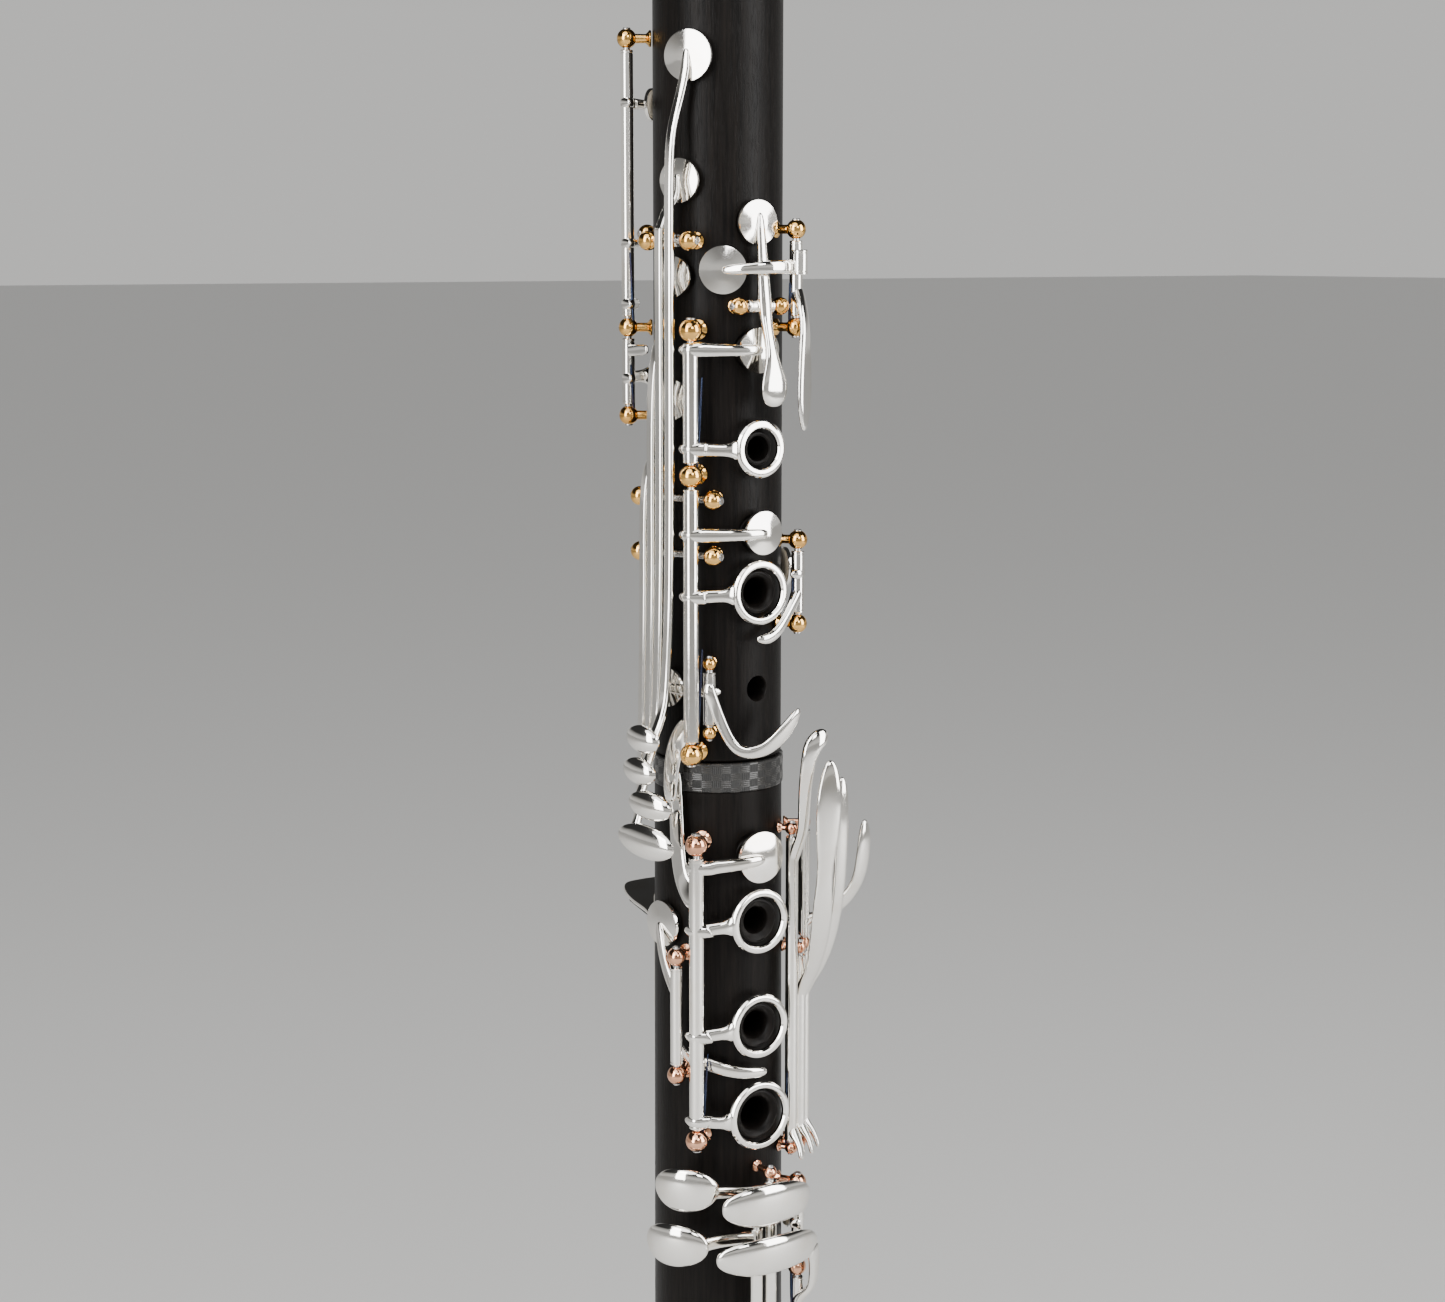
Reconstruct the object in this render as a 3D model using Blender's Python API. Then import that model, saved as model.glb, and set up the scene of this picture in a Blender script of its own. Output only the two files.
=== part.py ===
"""A soprano clarinet of the Boehm system: turned wooden body, mouthpiece, keywork on hinge rods.

The body stands on its bell, with its bore along +Z and its finger holes facing -Y.
Lengths are in millimetres here and become metres when a mesh is stored.
A place on the body is (angle, height, lift): degrees round the bore from the front,
millimetres up from the joint line between the two halves, and millimetres off the wood.
"""

from math import atan2, cos, degrees, hypot, pi, radians, sin

import bmesh
import bpy
from mathutils import Matrix, Vector

# Body lengths and radii
BELL_LENGTH = 108.0
LOWER_LENGTH = 235.0
UPPER_LENGTH = 193.0
BARREL_LENGTH = 66.0
MOUTHPIECE_LENGTH = 73.0
BORE_RADIUS = 7.4
UPPER_RADIUS = 14.0
LOWER_RADIUS = 14.2
LOWER_FOOT_RADIUS = 15.0
BELL_NECK_RADIUS = 16.8
BELL_RIM_RADIUS = 40.0
BELL_RIM_HEIGHT = 4.0
BELL_WALL = 3.0
BARREL_RADIUS = 16.2
BARREL_WAIST = 14.9
MOUTHPIECE_RADIUS = 12.8

# Tenons, sockets and bands
TENON_LENGTH = 17.0
TENON_RADIUS = 11.0
CORK_THICKNESS = 0.9
CORK_MARGIN = 3.0
CLEARANCE = 0.3
BAND_HEIGHT = 6.5
BAND_WALL = 1.1

# Keywork
HINGE_LIFT = 5.5
ROD_RADIUS = 0.6
TUBE_RADIUS = 1.7
SLIM_TUBE_RADIUS = 1.4
ROD_CLEARANCE = 0.4
BALL_RADIUS = 2.5
SMALL_BALL_RADIUS = 2.1
CUP_HEIGHT = 2.2
PAD_GAP = 0.5
PAD_TRAVEL = 1.3
RING_HEIGHT = 1.3
RING_LIFT = 2.2
CHIMNEY_LIFT = 1.9
LEVER_LIFT = 6.6

# Fineness of round pieces
BODY_SIDES = 24
CUP_SIDES = 12
RING_SIDES = 14
TUBE_SIDES = 8
BALL_SIDES = 6
HOLE_SIDES = 8
CORK_SIDES = 16
BAR_SIDES = 6

MM = 0.001
WELD = 0.0005
LINE = BELL_LENGTH + LOWER_LENGTH
UPPER_TOP = LINE + UPPER_LENGTH
BARREL_TOP = UPPER_TOP + BARREL_LENGTH
TIP = BARREL_TOP + MOUTHPIECE_LENGTH
FOOT = -LOWER_LENGTH

FINISHES = {
    "blackwood": ((0.018, 0.014, 0.012), 0.38, 0.0),
    "ebonite": ((0.012, 0.012, 0.013), 0.18, 0.0),
    "carbon": ((0.06, 0.06, 0.062), 0.35, 0.0),
    "silver": ((0.93, 0.92, 0.89), 0.08, 1.0),
    "gold": ((0.95, 0.62, 0.22), 0.12, 1.0),
    "rose": ((0.90, 0.55, 0.40), 0.12, 1.0),
    "cork": ((0.62, 0.44, 0.27), 0.9, 0.0),
    "cane": ((0.80, 0.68, 0.38), 0.6, 0.0),
}


def clear_scene():
    for thing in list(bpy.data.objects):
        bpy.data.objects.remove(thing, do_unlink=True)


def finish_material(node, finish):
    """One Principled material for one node."""
    colour, roughness, metallic = FINISHES[finish]
    material = bpy.data.materials.new(f"{node}_{finish}")
    material.use_nodes = True
    shader = material.node_tree.nodes["Principled BSDF"]
    shader.inputs["Base Color"].default_value = (*colour, 1.0)
    shader.inputs["Roughness"].default_value = roughness
    shader.inputs["Metallic"].default_value = metallic
    return material


def wood_radius(height):
    """Outer radius of the wood at a height from the joint line."""
    if height >= 0:
        return UPPER_RADIUS
    return LOWER_RADIUS + (LOWER_FOOT_RADIUS - LOWER_RADIUS) * min(1.0, height / FOOT)


def at(angle, height, lift):
    """The point at an angle, a height from the joint line and a lift off the wood."""
    radius = wood_radius(height) + lift
    turn = radians(angle)
    return Vector((radius * sin(turn), -radius * cos(turn), LINE + height))


def outward(angle):
    turn = radians(angle)
    return Vector((sin(turn), -cos(turn), 0.0))


def seat(angle, height, lift):
    """A frame on the wood: X round the body, Y up, Z outward."""
    turn = radians(angle)
    around = Vector((cos(turn), sin(turn), 0.0))
    axes = Matrix((around, Vector((0, 0, 1)), outward(angle))).transposed()
    return Matrix.Translation(at(angle, height, lift)) @ axes.to_4x4()


def lathe(profile, sides, frame=Matrix()):
    """A solid turned about the frame's Z axis from (radius, height) points."""
    bm = bmesh.new()
    points = [bm.verts.new((radius, 0, height)) for radius, height in profile]
    edges = [bm.edges.new(pair) for pair in zip(points, points[1:])]
    if profile[0][0] > 0 and profile[-1][0] > 0:
        edges.append(bm.edges.new((points[-1], points[0])))
    bmesh.ops.spin(bm, geom=points + edges, axis=(0, 0, 1), cent=(0, 0, 0), steps=sides,
                   angle=2 * pi, use_merge=True)
    bmesh.ops.remove_doubles(bm, verts=bm.verts, dist=WELD)
    bmesh.ops.recalc_face_normals(bm, faces=bm.faces)
    bm.transform(frame)
    return bm


def rod(start, end, radius, sides=TUBE_SIDES):
    """A plain round bar between two points."""
    along = end - start
    frame = Matrix.Translation(start) @ along.to_track_quat("Z", "Y").to_matrix().to_4x4()
    return lathe([(0, 0), (radius, 0), (radius, along.length), (0, along.length)], sides, frame)


def block(low, high):
    """A box between two corners."""
    bm = bmesh.new()
    bmesh.ops.create_cube(bm, size=1.0)
    size = Vector(high) - Vector(low)
    bmesh.ops.scale(bm, vec=size, verts=bm.verts)
    bmesh.ops.translate(bm, vec=Vector(low) + size / 2, verts=bm.verts)
    return bm


def loft(sections):
    """A closed solid through loops of points that all have the same count."""
    bm = bmesh.new()
    loops = [[bm.verts.new(point) for point in section] for section in sections]
    count = len(loops[0])
    for lower, upper in zip(loops, loops[1:]):
        for i in range(count):
            bm.faces.new((lower[i], lower[(i + 1) % count], upper[(i + 1) % count], upper[i]))
    bm.faces.new(loops[0][::-1])
    bm.faces.new(loops[-1])
    bmesh.ops.recalc_face_normals(bm, faces=bm.faces)
    return bm


def bar(stations, sides=BAR_SIDES, facing=0.0):
    """A lever or touch through (angle, height, lift, half width, half thickness) stations.

    Its broad side faces outward, or so many degrees round from outward.
    """
    centres = [at(*station[:3]) for station in stations]
    sections = []
    for i, station in enumerate(stations):
        ahead = (centres[min(i + 1, len(centres) - 1)] - centres[max(i - 1, 0)]).normalized()
        out = outward(station[0] + facing)
        out = (out - out.dot(ahead) * ahead).normalized()
        across = ahead.cross(out)
        half_width, half_thickness = station[3], station[4]
        section = []
        for k in range(sides):
            turn = 2 * pi * (k + 0.5) / sides
            section.append(centres[i] + across * half_width * cos(turn) + out * half_thickness * sin(turn))
        sections.append(section)
    return loft(sections)


def beside(angle, height, lift, across):
    """The place level with a flat disc at an angle, a distance across from its centre."""
    radius = wood_radius(height) + lift
    return angle + degrees(atan2(across, radius)), height, hypot(radius, across) - wood_radius(height)


def arc_arm(start, end, half_width=(1.5, 1.1), half_thickness=0.8, steps=3, bow=0.0):
    """A tapered arm that follows the curve of the body from one place to another."""
    stations = []
    for i in range(steps + 1):
        share = i / steps
        angle, height, lift = (a + (b - a) * share for a, b in zip(start, end))
        width = half_width[0] + (half_width[1] - half_width[0]) * share
        stations.append((angle, height, lift + bow * sin(pi * share), width, half_thickness))
    return bar(stations)


def dome(angle, height, lift, half_around, half_up, thickness, tilt, sides=12):
    """An oval domed touch, widest at its base."""
    frame = seat(angle, height, lift) @ Matrix.Rotation(radians(tilt), 4, "Z")
    levels = ((0.0, 0.80), (0.3, 1.0), (0.72, 0.72), (1.0, 0.28))
    sections = []
    for rise, spread in levels:
        section = []
        for k in range(sides):
            turn = 2 * pi * k / sides
            point = (half_around * spread * cos(turn), half_up * spread * sin(turn), thickness * rise)
            section.append(frame @ Vector(point))
        sections.append(section)
    return loft(sections)


def pad_cup(angle, height, radius, lift=PAD_GAP):
    """A dished cup with its pad, facing the wood."""
    profile = [(0, 0), (radius * 0.92, 0), (radius, 0.8), (radius, 1.5), (radius * 0.75, CUP_HEIGHT),
               (0, CUP_HEIGHT)]
    return lathe(profile, CUP_SIDES, seat(angle, height, lift))


def key_ring(angle, height, inner, outer, lift=RING_LIFT):
    """An open finger ring round a tone hole's chimney."""
    profile = [(inner, 0), (outer, 0), (outer - 0.4, RING_HEIGHT), (inner, RING_HEIGHT)]
    return lathe(profile, RING_SIDES, seat(angle, height, lift))


def ball_post(angle, height, ball, lift=HINGE_LIFT):
    """A turned post: base flange, waisted stem and ball head."""
    stem = ball * 0.5
    flange = ball * 0.85
    centre = lift - CLEARANCE
    ring = [(ball * sin(t), centre - ball * cos(t)) for t in (radians(d) for d in (30, 90, 140))]
    profile = [(0, 0), (flange, 0), (stem, 0.9)] + ring
    profile.append((0, centre + ball))
    return lathe(profile, BALL_SIDES, seat(angle, height, CLEARANCE))


def stored(bm, name, origin=Vector()):
    """A Blender object from a bmesh in millimetres, with its origin at a joint's axis."""
    bmesh.ops.translate(bm, vec=-origin, verts=bm.verts)
    bmesh.ops.scale(bm, vec=(MM, MM, MM), verts=bm.verts)
    mesh = bpy.data.meshes.new(name)
    bm.to_mesh(mesh)
    bm.free()
    thing = bpy.data.objects.new(name, mesh)
    thing.location = origin * MM
    bpy.context.scene.collection.objects.link(thing)
    return thing


def part(node, finish, shapes, cuts=(), origin=Vector()):
    """One node: its shapes united, then its cuts taken away."""
    base = stored(shapes[0], node, origin)
    helpers = []
    steps = [("UNION", bm) for bm in shapes[1:]] + [("DIFFERENCE", bm) for bm in cuts]
    for i, (operation, bm) in enumerate(steps):
        helper = stored(bm, f"{node}_tool_{i}")
        helper.hide_render = True
        helper.display_type = "WIRE"
        helpers.append(helper)
        modifier = base.modifiers.new(f"{operation.lower()}_{i}", "BOOLEAN")
        modifier.operation = operation
        modifier.object = helper
        modifier.solver = "EXACT"
    if steps:
        bpy.context.view_layer.update()
        graph = bpy.context.evaluated_depsgraph_get()
        baked = bpy.data.meshes.new_from_object(base.evaluated_get(graph))
        base.modifiers.clear()
        base.data = baked
    for helper in helpers:
        bpy.data.objects.remove(helper, do_unlink=True)
    base.data.materials.clear()
    base.data.materials.append(finish_material(node, finish))
    base.data.shade_smooth()
    base.data.set_sharp_from_angle(angle=radians(40))
    base.parent = ROOT
    return base


def hinge(node, finish, angle, posts, ball=BALL_RADIUS, lift=HINGE_LIFT):
    """Posts along the body with a hinge rod through their balls."""
    low, high = min(posts), max(posts)
    shapes = [ball_post(angle, height, ball, lift) for height in posts]
    base = wood_radius((low + high) / 2) + lift
    ends = [outward(angle) * base + Vector((0, 0, LINE + height)) for height in (low, high)]
    shapes.append(rod(ends[0], ends[1], ROD_RADIUS, BALL_SIDES))
    part(node, finish, shapes)


def cross_hinge(node, finish, angles, height, lift, ball=SMALL_BALL_RADIUS):
    """Two posts side by side with a hinge rod across the body."""
    ends = [at(angle, height, lift) for angle in angles]
    shapes = [ball_post(angle, height, ball, lift) for angle in angles]
    shapes.append(rod(ends[0], ends[1], ROD_RADIUS, BALL_SIDES))
    part(node, finish, shapes)
    return ends


def upright_tube(angle, low, high, middle, radius=TUBE_RADIUS, lift=HINGE_LIFT):
    """A key's tube along the body and the hole for its rod; middle is the hinge's mid height."""
    base = outward(angle) * (wood_radius(middle) + lift)
    start, end = (base + Vector((0, 0, LINE + height)) for height in (low, high))
    past = Vector((0, 0, 1.0))
    bore = rod(start - past, end + past, ROD_RADIUS + ROD_CLEARANCE)
    return rod(start, end, radius), bore, start


def cross_tube(ends, share, length, radius=TUBE_RADIUS):
    """A key's tube on a hinge rod across the body, centred a share of the way along it."""
    along = (ends[1] - ends[0]).normalized()
    centre = ends[0].lerp(ends[1], share)
    start, end = centre - along * length / 2, centre + along * length / 2
    bore = rod(start - along, end + along, ROD_RADIUS + ROD_CLEARANCE)
    return rod(start, end, radius), bore, centre


# ---------------------------------------------------------------- body

def tone_hole(angle, height, radius):
    """A cutter through one wall, from the bore to the outside."""
    start = at(angle, height, 0) - outward(angle) * (wood_radius(height) - BORE_RADIUS * 0.45)
    return rod(start, at(angle, height, 6), radius, HOLE_SIDES)


def chimney(angle, height, radius):
    """The raised seat of a ringed tone hole, as part of the wood."""
    sunk = 2.5
    profile = [(0, -sunk), (radius, -sunk), (radius, CHIMNEY_LIFT - 0.4), (radius - 0.5, CHIMNEY_LIFT),
               (0, CHIMNEY_LIFT)]
    return lathe(profile, HOLE_SIDES + 2, seat(angle, height, 0))


# (angle, height, chimney radius, hole radius) of the ringed finger holes
UPPER_FINGER_HOLES = ((0.0, 68.6, 3.7, 2.6), (0.0, 37.6, 4.7, 3.0))
LOWER_FINGER_HOLES = ((-0.5, -35.4, 5.0, 2.9), (-0.5, -59.3, 5.0, 3.0), (-0.5, -79.9, 5.6, 3.6))
THIRD_FINGER_HOLE = (5.0, 16.1, 2.6)
THUMB_HOLE = (180.0, 83.0, 3.4)
PAD_HOLE_RADIUS = 2.4
EB_PAD = FOOT + 30.0
FC_PAD = FOOT + 58.0
CS_PAD = FOOT + 80.0
UPPER_PAD_HOLES = ((-1.6, 89.5), (2.7, 50.5), (0.0, 116.3), (-29.0, 106.4), (-56.5, 150.6), (-64.4, 125.0),
                   (-70.0, 105.0), (-71.0, 79.0), (-77.0, 16.5), (75.0, 41.0), (180.0, 141.0))
LOWER_PAD_HOLES = ((0.7, -20.9, 3.0), (-84.0, -37.0, 2.6), (68.0, -107.0, 3.4), (-40.0, EB_PAD, 5.0),
                   (-40.0, FC_PAD, 5.0), (62.0, CS_PAD, 3.4))


def tenon_steps(shoulder, away):
    """Profile of a tenon from its shoulder, with the groove that holds its cork."""
    end = shoulder + away * TENON_LENGTH
    groove = TENON_RADIUS - CORK_THICKNESS * 0.5
    return [(TENON_RADIUS, shoulder), (TENON_RADIUS, shoulder + away * CORK_MARGIN),
            (groove, shoulder + away * CORK_MARGIN), (groove, end - away * CORK_MARGIN),
            (TENON_RADIUS, end - away * CORK_MARGIN), (TENON_RADIUS, end)]


SOCKET_RADIUS = TENON_RADIUS + CORK_THICKNESS * 0.5 + 2 * CLEARANCE
SOCKET_DEPTH = TENON_LENGTH + CLEARANCE


def tenon_cork(node, shoulder, away):
    """The cork sleeve in a tenon's groove."""
    inner = TENON_RADIUS - CORK_THICKNESS * 0.5 + CLEARANCE
    outer = TENON_RADIUS + CORK_THICKNESS * 0.5 + CLEARANCE
    low = shoulder + away * (CORK_MARGIN + CLEARANCE)
    high = shoulder + away * (TENON_LENGTH - CORK_MARGIN - CLEARANCE)
    part(node, "cork", [lathe([(inner, low), (outer, low), (outer, high), (inner, high)], CORK_SIDES)])


def socket_band(node, low, radius):
    """A band of woven fibre round a socket's mouth."""
    inner = radius - BAND_WALL
    high = low + BAND_HEIGHT - CLEARANCE
    profile = [(inner, low), (radius, low), (radius, high), (inner, high)]
    part(node, "carbon", [lathe(profile, BODY_SIDES)])


def bell():
    """The flared bell, hollow from its socket to its rim."""
    flare_top = BELL_LENGTH - 34.0
    outer, inner = [], []
    steps = 6
    for i in range(steps + 1):
        share = i / steps
        height = BELL_RIM_HEIGHT + (flare_top - BELL_RIM_HEIGHT) * share
        spread = (1 - share) ** 2.3
        radius = BELL_NECK_RADIUS + (BELL_RIM_RADIUS - BELL_NECK_RADIUS) * spread
        outer.append((radius, height))
        inner.append((max(radius - BELL_WALL - 3.2 * share, BORE_RADIUS), height))
    mouth = BELL_LENGTH - SOCKET_DEPTH
    band = BELL_NECK_RADIUS + 0.2 - BAND_WALL - CLEARANCE
    profile = [(BELL_RIM_RADIUS - 1.0, 0)] + outer
    profile += [(BELL_NECK_RADIUS, BELL_LENGTH - BAND_HEIGHT), (band, BELL_LENGTH - BAND_HEIGHT),
                (band, BELL_LENGTH), (SOCKET_RADIUS, BELL_LENGTH), (SOCKET_RADIUS, mouth),
                (BORE_RADIUS + 0.6, mouth)]
    profile += inner[::-1] + [(BELL_RIM_RADIUS - BELL_WALL - 2.0, 0)]
    part("bell", "blackwood", [lathe(profile, BODY_SIDES)])
    socket_band("bell_band", BELL_LENGTH - BAND_HEIGHT + CLEARANCE, BELL_NECK_RADIUS + 0.2)


def lower_joint():
    """The lower half of the body: tenon below, socket above."""
    foot = BELL_LENGTH + CLEARANCE
    band = LOWER_RADIUS + 0.3 - BAND_WALL - CLEARANCE
    profile = [(BORE_RADIUS, foot - TENON_LENGTH)]
    profile += tenon_steps(foot, -1)[::-1]
    profile += [(LOWER_FOOT_RADIUS, foot), (LOWER_RADIUS, LINE - BAND_HEIGHT), (band, LINE - BAND_HEIGHT),
                (band, LINE), (SOCKET_RADIUS, LINE), (SOCKET_RADIUS, LINE - SOCKET_DEPTH),
                (BORE_RADIUS, LINE - SOCKET_DEPTH)]
    shapes = [lathe(profile, BODY_SIDES)]
    shapes += [chimney(*hole[:3]) for hole in LOWER_FINGER_HOLES]
    cuts = [tone_hole(angle, height, hole) for angle, height, _, hole in LOWER_FINGER_HOLES]
    cuts += [tone_hole(*hole) for hole in LOWER_PAD_HOLES]
    cuts.append(lathe([(0, foot), (BORE_RADIUS, foot), (BORE_RADIUS, LINE), (0, LINE)], BODY_SIDES))
    part("lower_joint", "blackwood", shapes, cuts)
    socket_band("lower_joint_band", LINE - BAND_HEIGHT + CLEARANCE, LOWER_RADIUS + 0.3)
    tenon_cork("lower_tenon_cork", foot, -1)


def upper_joint():
    """The upper half of the body, with a tenon at each end."""
    foot = LINE + CLEARANCE
    profile = [(BORE_RADIUS, foot - TENON_LENGTH)]
    profile += tenon_steps(foot, -1)[::-1]
    profile += [(UPPER_RADIUS, foot), (UPPER_RADIUS, UPPER_TOP)]
    profile += tenon_steps(UPPER_TOP, 1)
    profile += [(BORE_RADIUS, UPPER_TOP + TENON_LENGTH)]
    shapes = [lathe(profile, BODY_SIDES)]
    shapes += [chimney(*hole[:3]) for hole in UPPER_FINGER_HOLES]
    cuts = [tone_hole(angle, height, hole) for angle, height, _, hole in UPPER_FINGER_HOLES]
    cuts += [tone_hole(angle, height, PAD_HOLE_RADIUS) for angle, height in UPPER_PAD_HOLES]
    cuts += [tone_hole(*THIRD_FINGER_HOLE), tone_hole(*THUMB_HOLE)]
    cuts.append(lathe([(0, foot), (BORE_RADIUS, foot), (BORE_RADIUS, UPPER_TOP), (0, UPPER_TOP)], BODY_SIDES))
    part("upper_joint", "blackwood", shapes, cuts)
    tenon_cork("upper_foot_cork", foot, -1)
    tenon_cork("upper_top_cork", UPPER_TOP, 1)


def barrel():
    """The tuning barrel, waisted, with a socket and a band at each end."""
    low, high = UPPER_TOP + CLEARANCE, BARREL_TOP
    band = BARREL_RADIUS - BAND_WALL - CLEARANCE
    middle = (low + high) / 2
    profile = [(SOCKET_RADIUS, low), (band, low), (band, low + BAND_HEIGHT),
               (BARREL_RADIUS, low + BAND_HEIGHT), (BARREL_WAIST + 0.4, middle - 12),
               (BARREL_WAIST, middle), (BARREL_WAIST + 0.4, middle + 12),
               (BARREL_RADIUS, high - BAND_HEIGHT), (band, high - BAND_HEIGHT), (band, high),
               (SOCKET_RADIUS, high), (SOCKET_RADIUS, high - SOCKET_DEPTH),
               (BORE_RADIUS, high - SOCKET_DEPTH), (BORE_RADIUS, low + SOCKET_DEPTH),
               (SOCKET_RADIUS, low + SOCKET_DEPTH)]
    origin = Vector((0, 0, low))
    part("barrel", "blackwood", [lathe(profile, BODY_SIDES)], origin=origin)
    socket_band("barrel_foot_band", low, BARREL_RADIUS)
    socket_band("barrel_top_band", high - BAND_HEIGHT + CLEARANCE, BARREL_RADIUS)


# ---------------------------------------------------------------- mouthpiece, reed and ligature

TABLE = 8.6
REED_HALF_WIDTH = 6.4
REED_BUTT = 2.7
REED_FOOT = BARREL_TOP + 5.0
LIGATURE_FOOT = BARREL_TOP + 9.0
LIGATURE_LENGTH = 27.0
LIGATURE_WALL = 0.8
SCREW_RADIUS = 1.2
SCREW_OUT = MOUTHPIECE_RADIUS + 5.2


def mouthpiece():
    """A beak mouthpiece: turned shank, flat table behind, sloping beak in front."""
    foot = BARREL_TOP + CLEARANCE
    profile = [(BORE_RADIUS, foot - TENON_LENGTH)]
    profile += tenon_steps(foot, -1)[::-1]
    profile += [(MOUTHPIECE_RADIUS + 0.8, foot), (MOUTHPIECE_RADIUS + 0.8, foot + 3.0),
                (MOUTHPIECE_RADIUS, foot + 4.0), (MOUTHPIECE_RADIUS - 1.2, TIP - 36),
                (MOUTHPIECE_RADIUS - 1.8, TIP), (0, TIP), (0, TIP - 30), (BORE_RADIUS * 0.9, TIP - 44)]
    body = lathe(profile, BODY_SIDES)
    half = MOUTHPIECE_RADIUS + 4
    flat = block((-half, TABLE, REED_FOOT - 1.0), (half, half, TIP + 5))
    slope_foot, slope_tip = TIP - 36, TABLE - 1.0
    beak = loft([[Vector((x, -half, slope_foot)), Vector((x, -MOUTHPIECE_RADIUS + 1.2, slope_foot)),
                  Vector((x, slope_tip, TIP)), Vector((x, slope_tip, TIP + 5)), Vector((x, -half, TIP + 5))]
                 for x in (-half, half)])
    sides = [loft([[Vector((side * 12, y, TIP - 40)), Vector((side * 9.2, y, TIP - 12)),
                    Vector((side * 6.6, y, TIP)), Vector((side * 6.6, y, TIP + 4)),
                    Vector((side * 20, y, TIP + 4)), Vector((side * 20, y, TIP - 40))] for y in (-half, half)])
             for side in (-1, 1)]
    window = loft([[Vector((x, TABLE + 1, TIP - 38)), Vector((x, TABLE + 1, TIP - 2.5)),
                    Vector((x, TABLE - 1.2, TIP - 2.5)), Vector((x, -3, TIP - 38))] for x in (-4.6, 4.6)])
    part("mouthpiece", "ebonite", [body], [flat, beak] + sides + [window], origin=Vector((0, 0, foot)))
    tenon_cork("mouthpiece_cork", foot, -1)


def reed():
    """A cane reed: flat against the table, round behind, scraped to a thin tip."""
    near = TABLE + CLEARANCE
    stations = ((REED_FOOT, REED_BUTT, 0.9), (REED_FOOT + 33, REED_BUTT - 0.1, 0.95),
                (REED_FOOT + 46, 1.5, 0.98), (TIP - 0.5, 0.35, 1.0))
    sections = []
    for height, thickness, share in stations:
        width = REED_HALF_WIDTH * share
        edge = min(0.6, thickness * 0.5)
        sections.append([Vector((-width, near, height)), Vector((-width, near + edge, height)),
                         Vector((-width * 0.5, near + thickness * 0.9, height)),
                         Vector((width * 0.5, near + thickness * 0.9, height)),
                         Vector((width, near + edge, height)), Vector((width, near, height))])
    part("reed", "cane", [loft(sections)])


def ligature():
    """A metal band round mouthpiece and reed, with two lugs and two thumbscrews behind."""
    inner = MOUTHPIECE_RADIUS + CLEARANCE
    outer = inner + LIGATURE_WALL
    low, high = LIGATURE_FOOT, LIGATURE_FOOT + LIGATURE_LENGTH
    shell = lathe([(inner, low), (outer, low), (outer, high), (inner, high)], BODY_SIDES)
    screw_heights = (low + 6.0, high - 6.0)
    lugs, holes = [], []
    for height in screw_heights:
        for side in (-1, 1):
            reach = sorted((side * 2.6, side * 5.2))
            top = SCREW_OUT + 2.4
            lugs.append(block((reach[0], outer - 1.4, height - 2.6), (reach[1], top, height + 2.6)))
        holes.append(rod(Vector((-7, SCREW_OUT, height)), Vector((7, SCREW_OUT, height)),
                         SCREW_RADIUS + ROD_CLEARANCE))
    clear = lathe([(0, low - 1), (inner, low - 1), (inner, high + 1), (0, high + 1)], BODY_SIDES)
    part("ligature_band", "silver", [shell] + lugs, holes + [clear])
    for node, height in zip(("ligature_screw_lower", "ligature_screw_upper"), screw_heights):
        origin = Vector((0, SCREW_OUT, height))
        shank = rod(origin + Vector((-6.5, 0, 0)), origin + Vector((8.0, 0, 0)), SCREW_RADIUS)
        frame = Matrix.Translation(origin + Vector((5.6, 0, 0))) @ Matrix.Rotation(pi / 2, 4, "Y")
        head = lathe([(0, 0), (2.0, 0), (3.6, 1.2), (3.6, 3.6), (2.8, 4.2), (0, 4.2)], TUBE_SIDES, frame)
        part(node, "silver", [shank, head], origin=origin)


# ---------------------------------------------------------------- keys of the upper joint

UPPER_HINGE = -50.0
UPPER_POSTS = (93.9, 63.2, 2.9)
OPEN_PAD = PAD_GAP + PAD_TRAVEL


def between(low, high, ball=BALL_RADIUS):
    """The span of a tube between two posts, clear of their balls."""
    return low + ball + CLEARANCE, high - ball - CLEARANCE


def upper_ring_keys():
    """First and second finger rings, each with an open-standing pad above it."""
    hinge("upper_hinge", "gold", UPPER_HINGE, UPPER_POSTS)
    middle = (min(UPPER_POSTS) + max(UPPER_POSTS)) / 2
    tube, bore, origin = upright_tube(UPPER_HINGE, *between(UPPER_POSTS[1], UPPER_POSTS[0]), middle)
    top = OPEN_PAD + CUP_HEIGHT
    part("first_ring_key", "silver", [
        tube,
        arc_arm((UPPER_HINGE, 89.8, HINGE_LIFT), (-2.0, 89.6, top + 0.2), steps=4),
        pad_cup(-1.6, 89.5, 4.85, OPEN_PAD),
        arc_arm((UPPER_HINGE, 68.9, HINGE_LIFT), beside(0.0, 68.6, RING_LIFT + 0.65, -5.3), (1.6, 1.5)),
        key_ring(0.0, 68.6, 4.3, 6.2),
    ], [bore], origin)
    tube, bore, origin = upright_tube(UPPER_HINGE, *between(UPPER_POSTS[2], UPPER_POSTS[1]), middle)
    part("second_ring_key", "silver", [
        tube,
        arc_arm((UPPER_HINGE, 50.6, HINGE_LIFT), (2.4, 50.5, top + 0.2), steps=4),
        pad_cup(2.7, 50.5, 4.75, OPEN_PAD),
        arc_arm((UPPER_HINGE, 37.3, HINGE_LIFT), beside(0.0, 37.6, RING_LIFT + 0.65, -6.2), (1.6, 1.5)),
        key_ring(0.0, 37.6, 5.3, 7.0),
        bar([(-50.5, 9.5, 4.6, 2.2, 0.6), (-58, 7.5, 4.1, 2.2, 0.5), (-66, 3.0, 4.0, 2.0, 0.5),
             (-68, -9.0, 4.0, 1.6, 0.5)]),
    ], [bore], origin)


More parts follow.
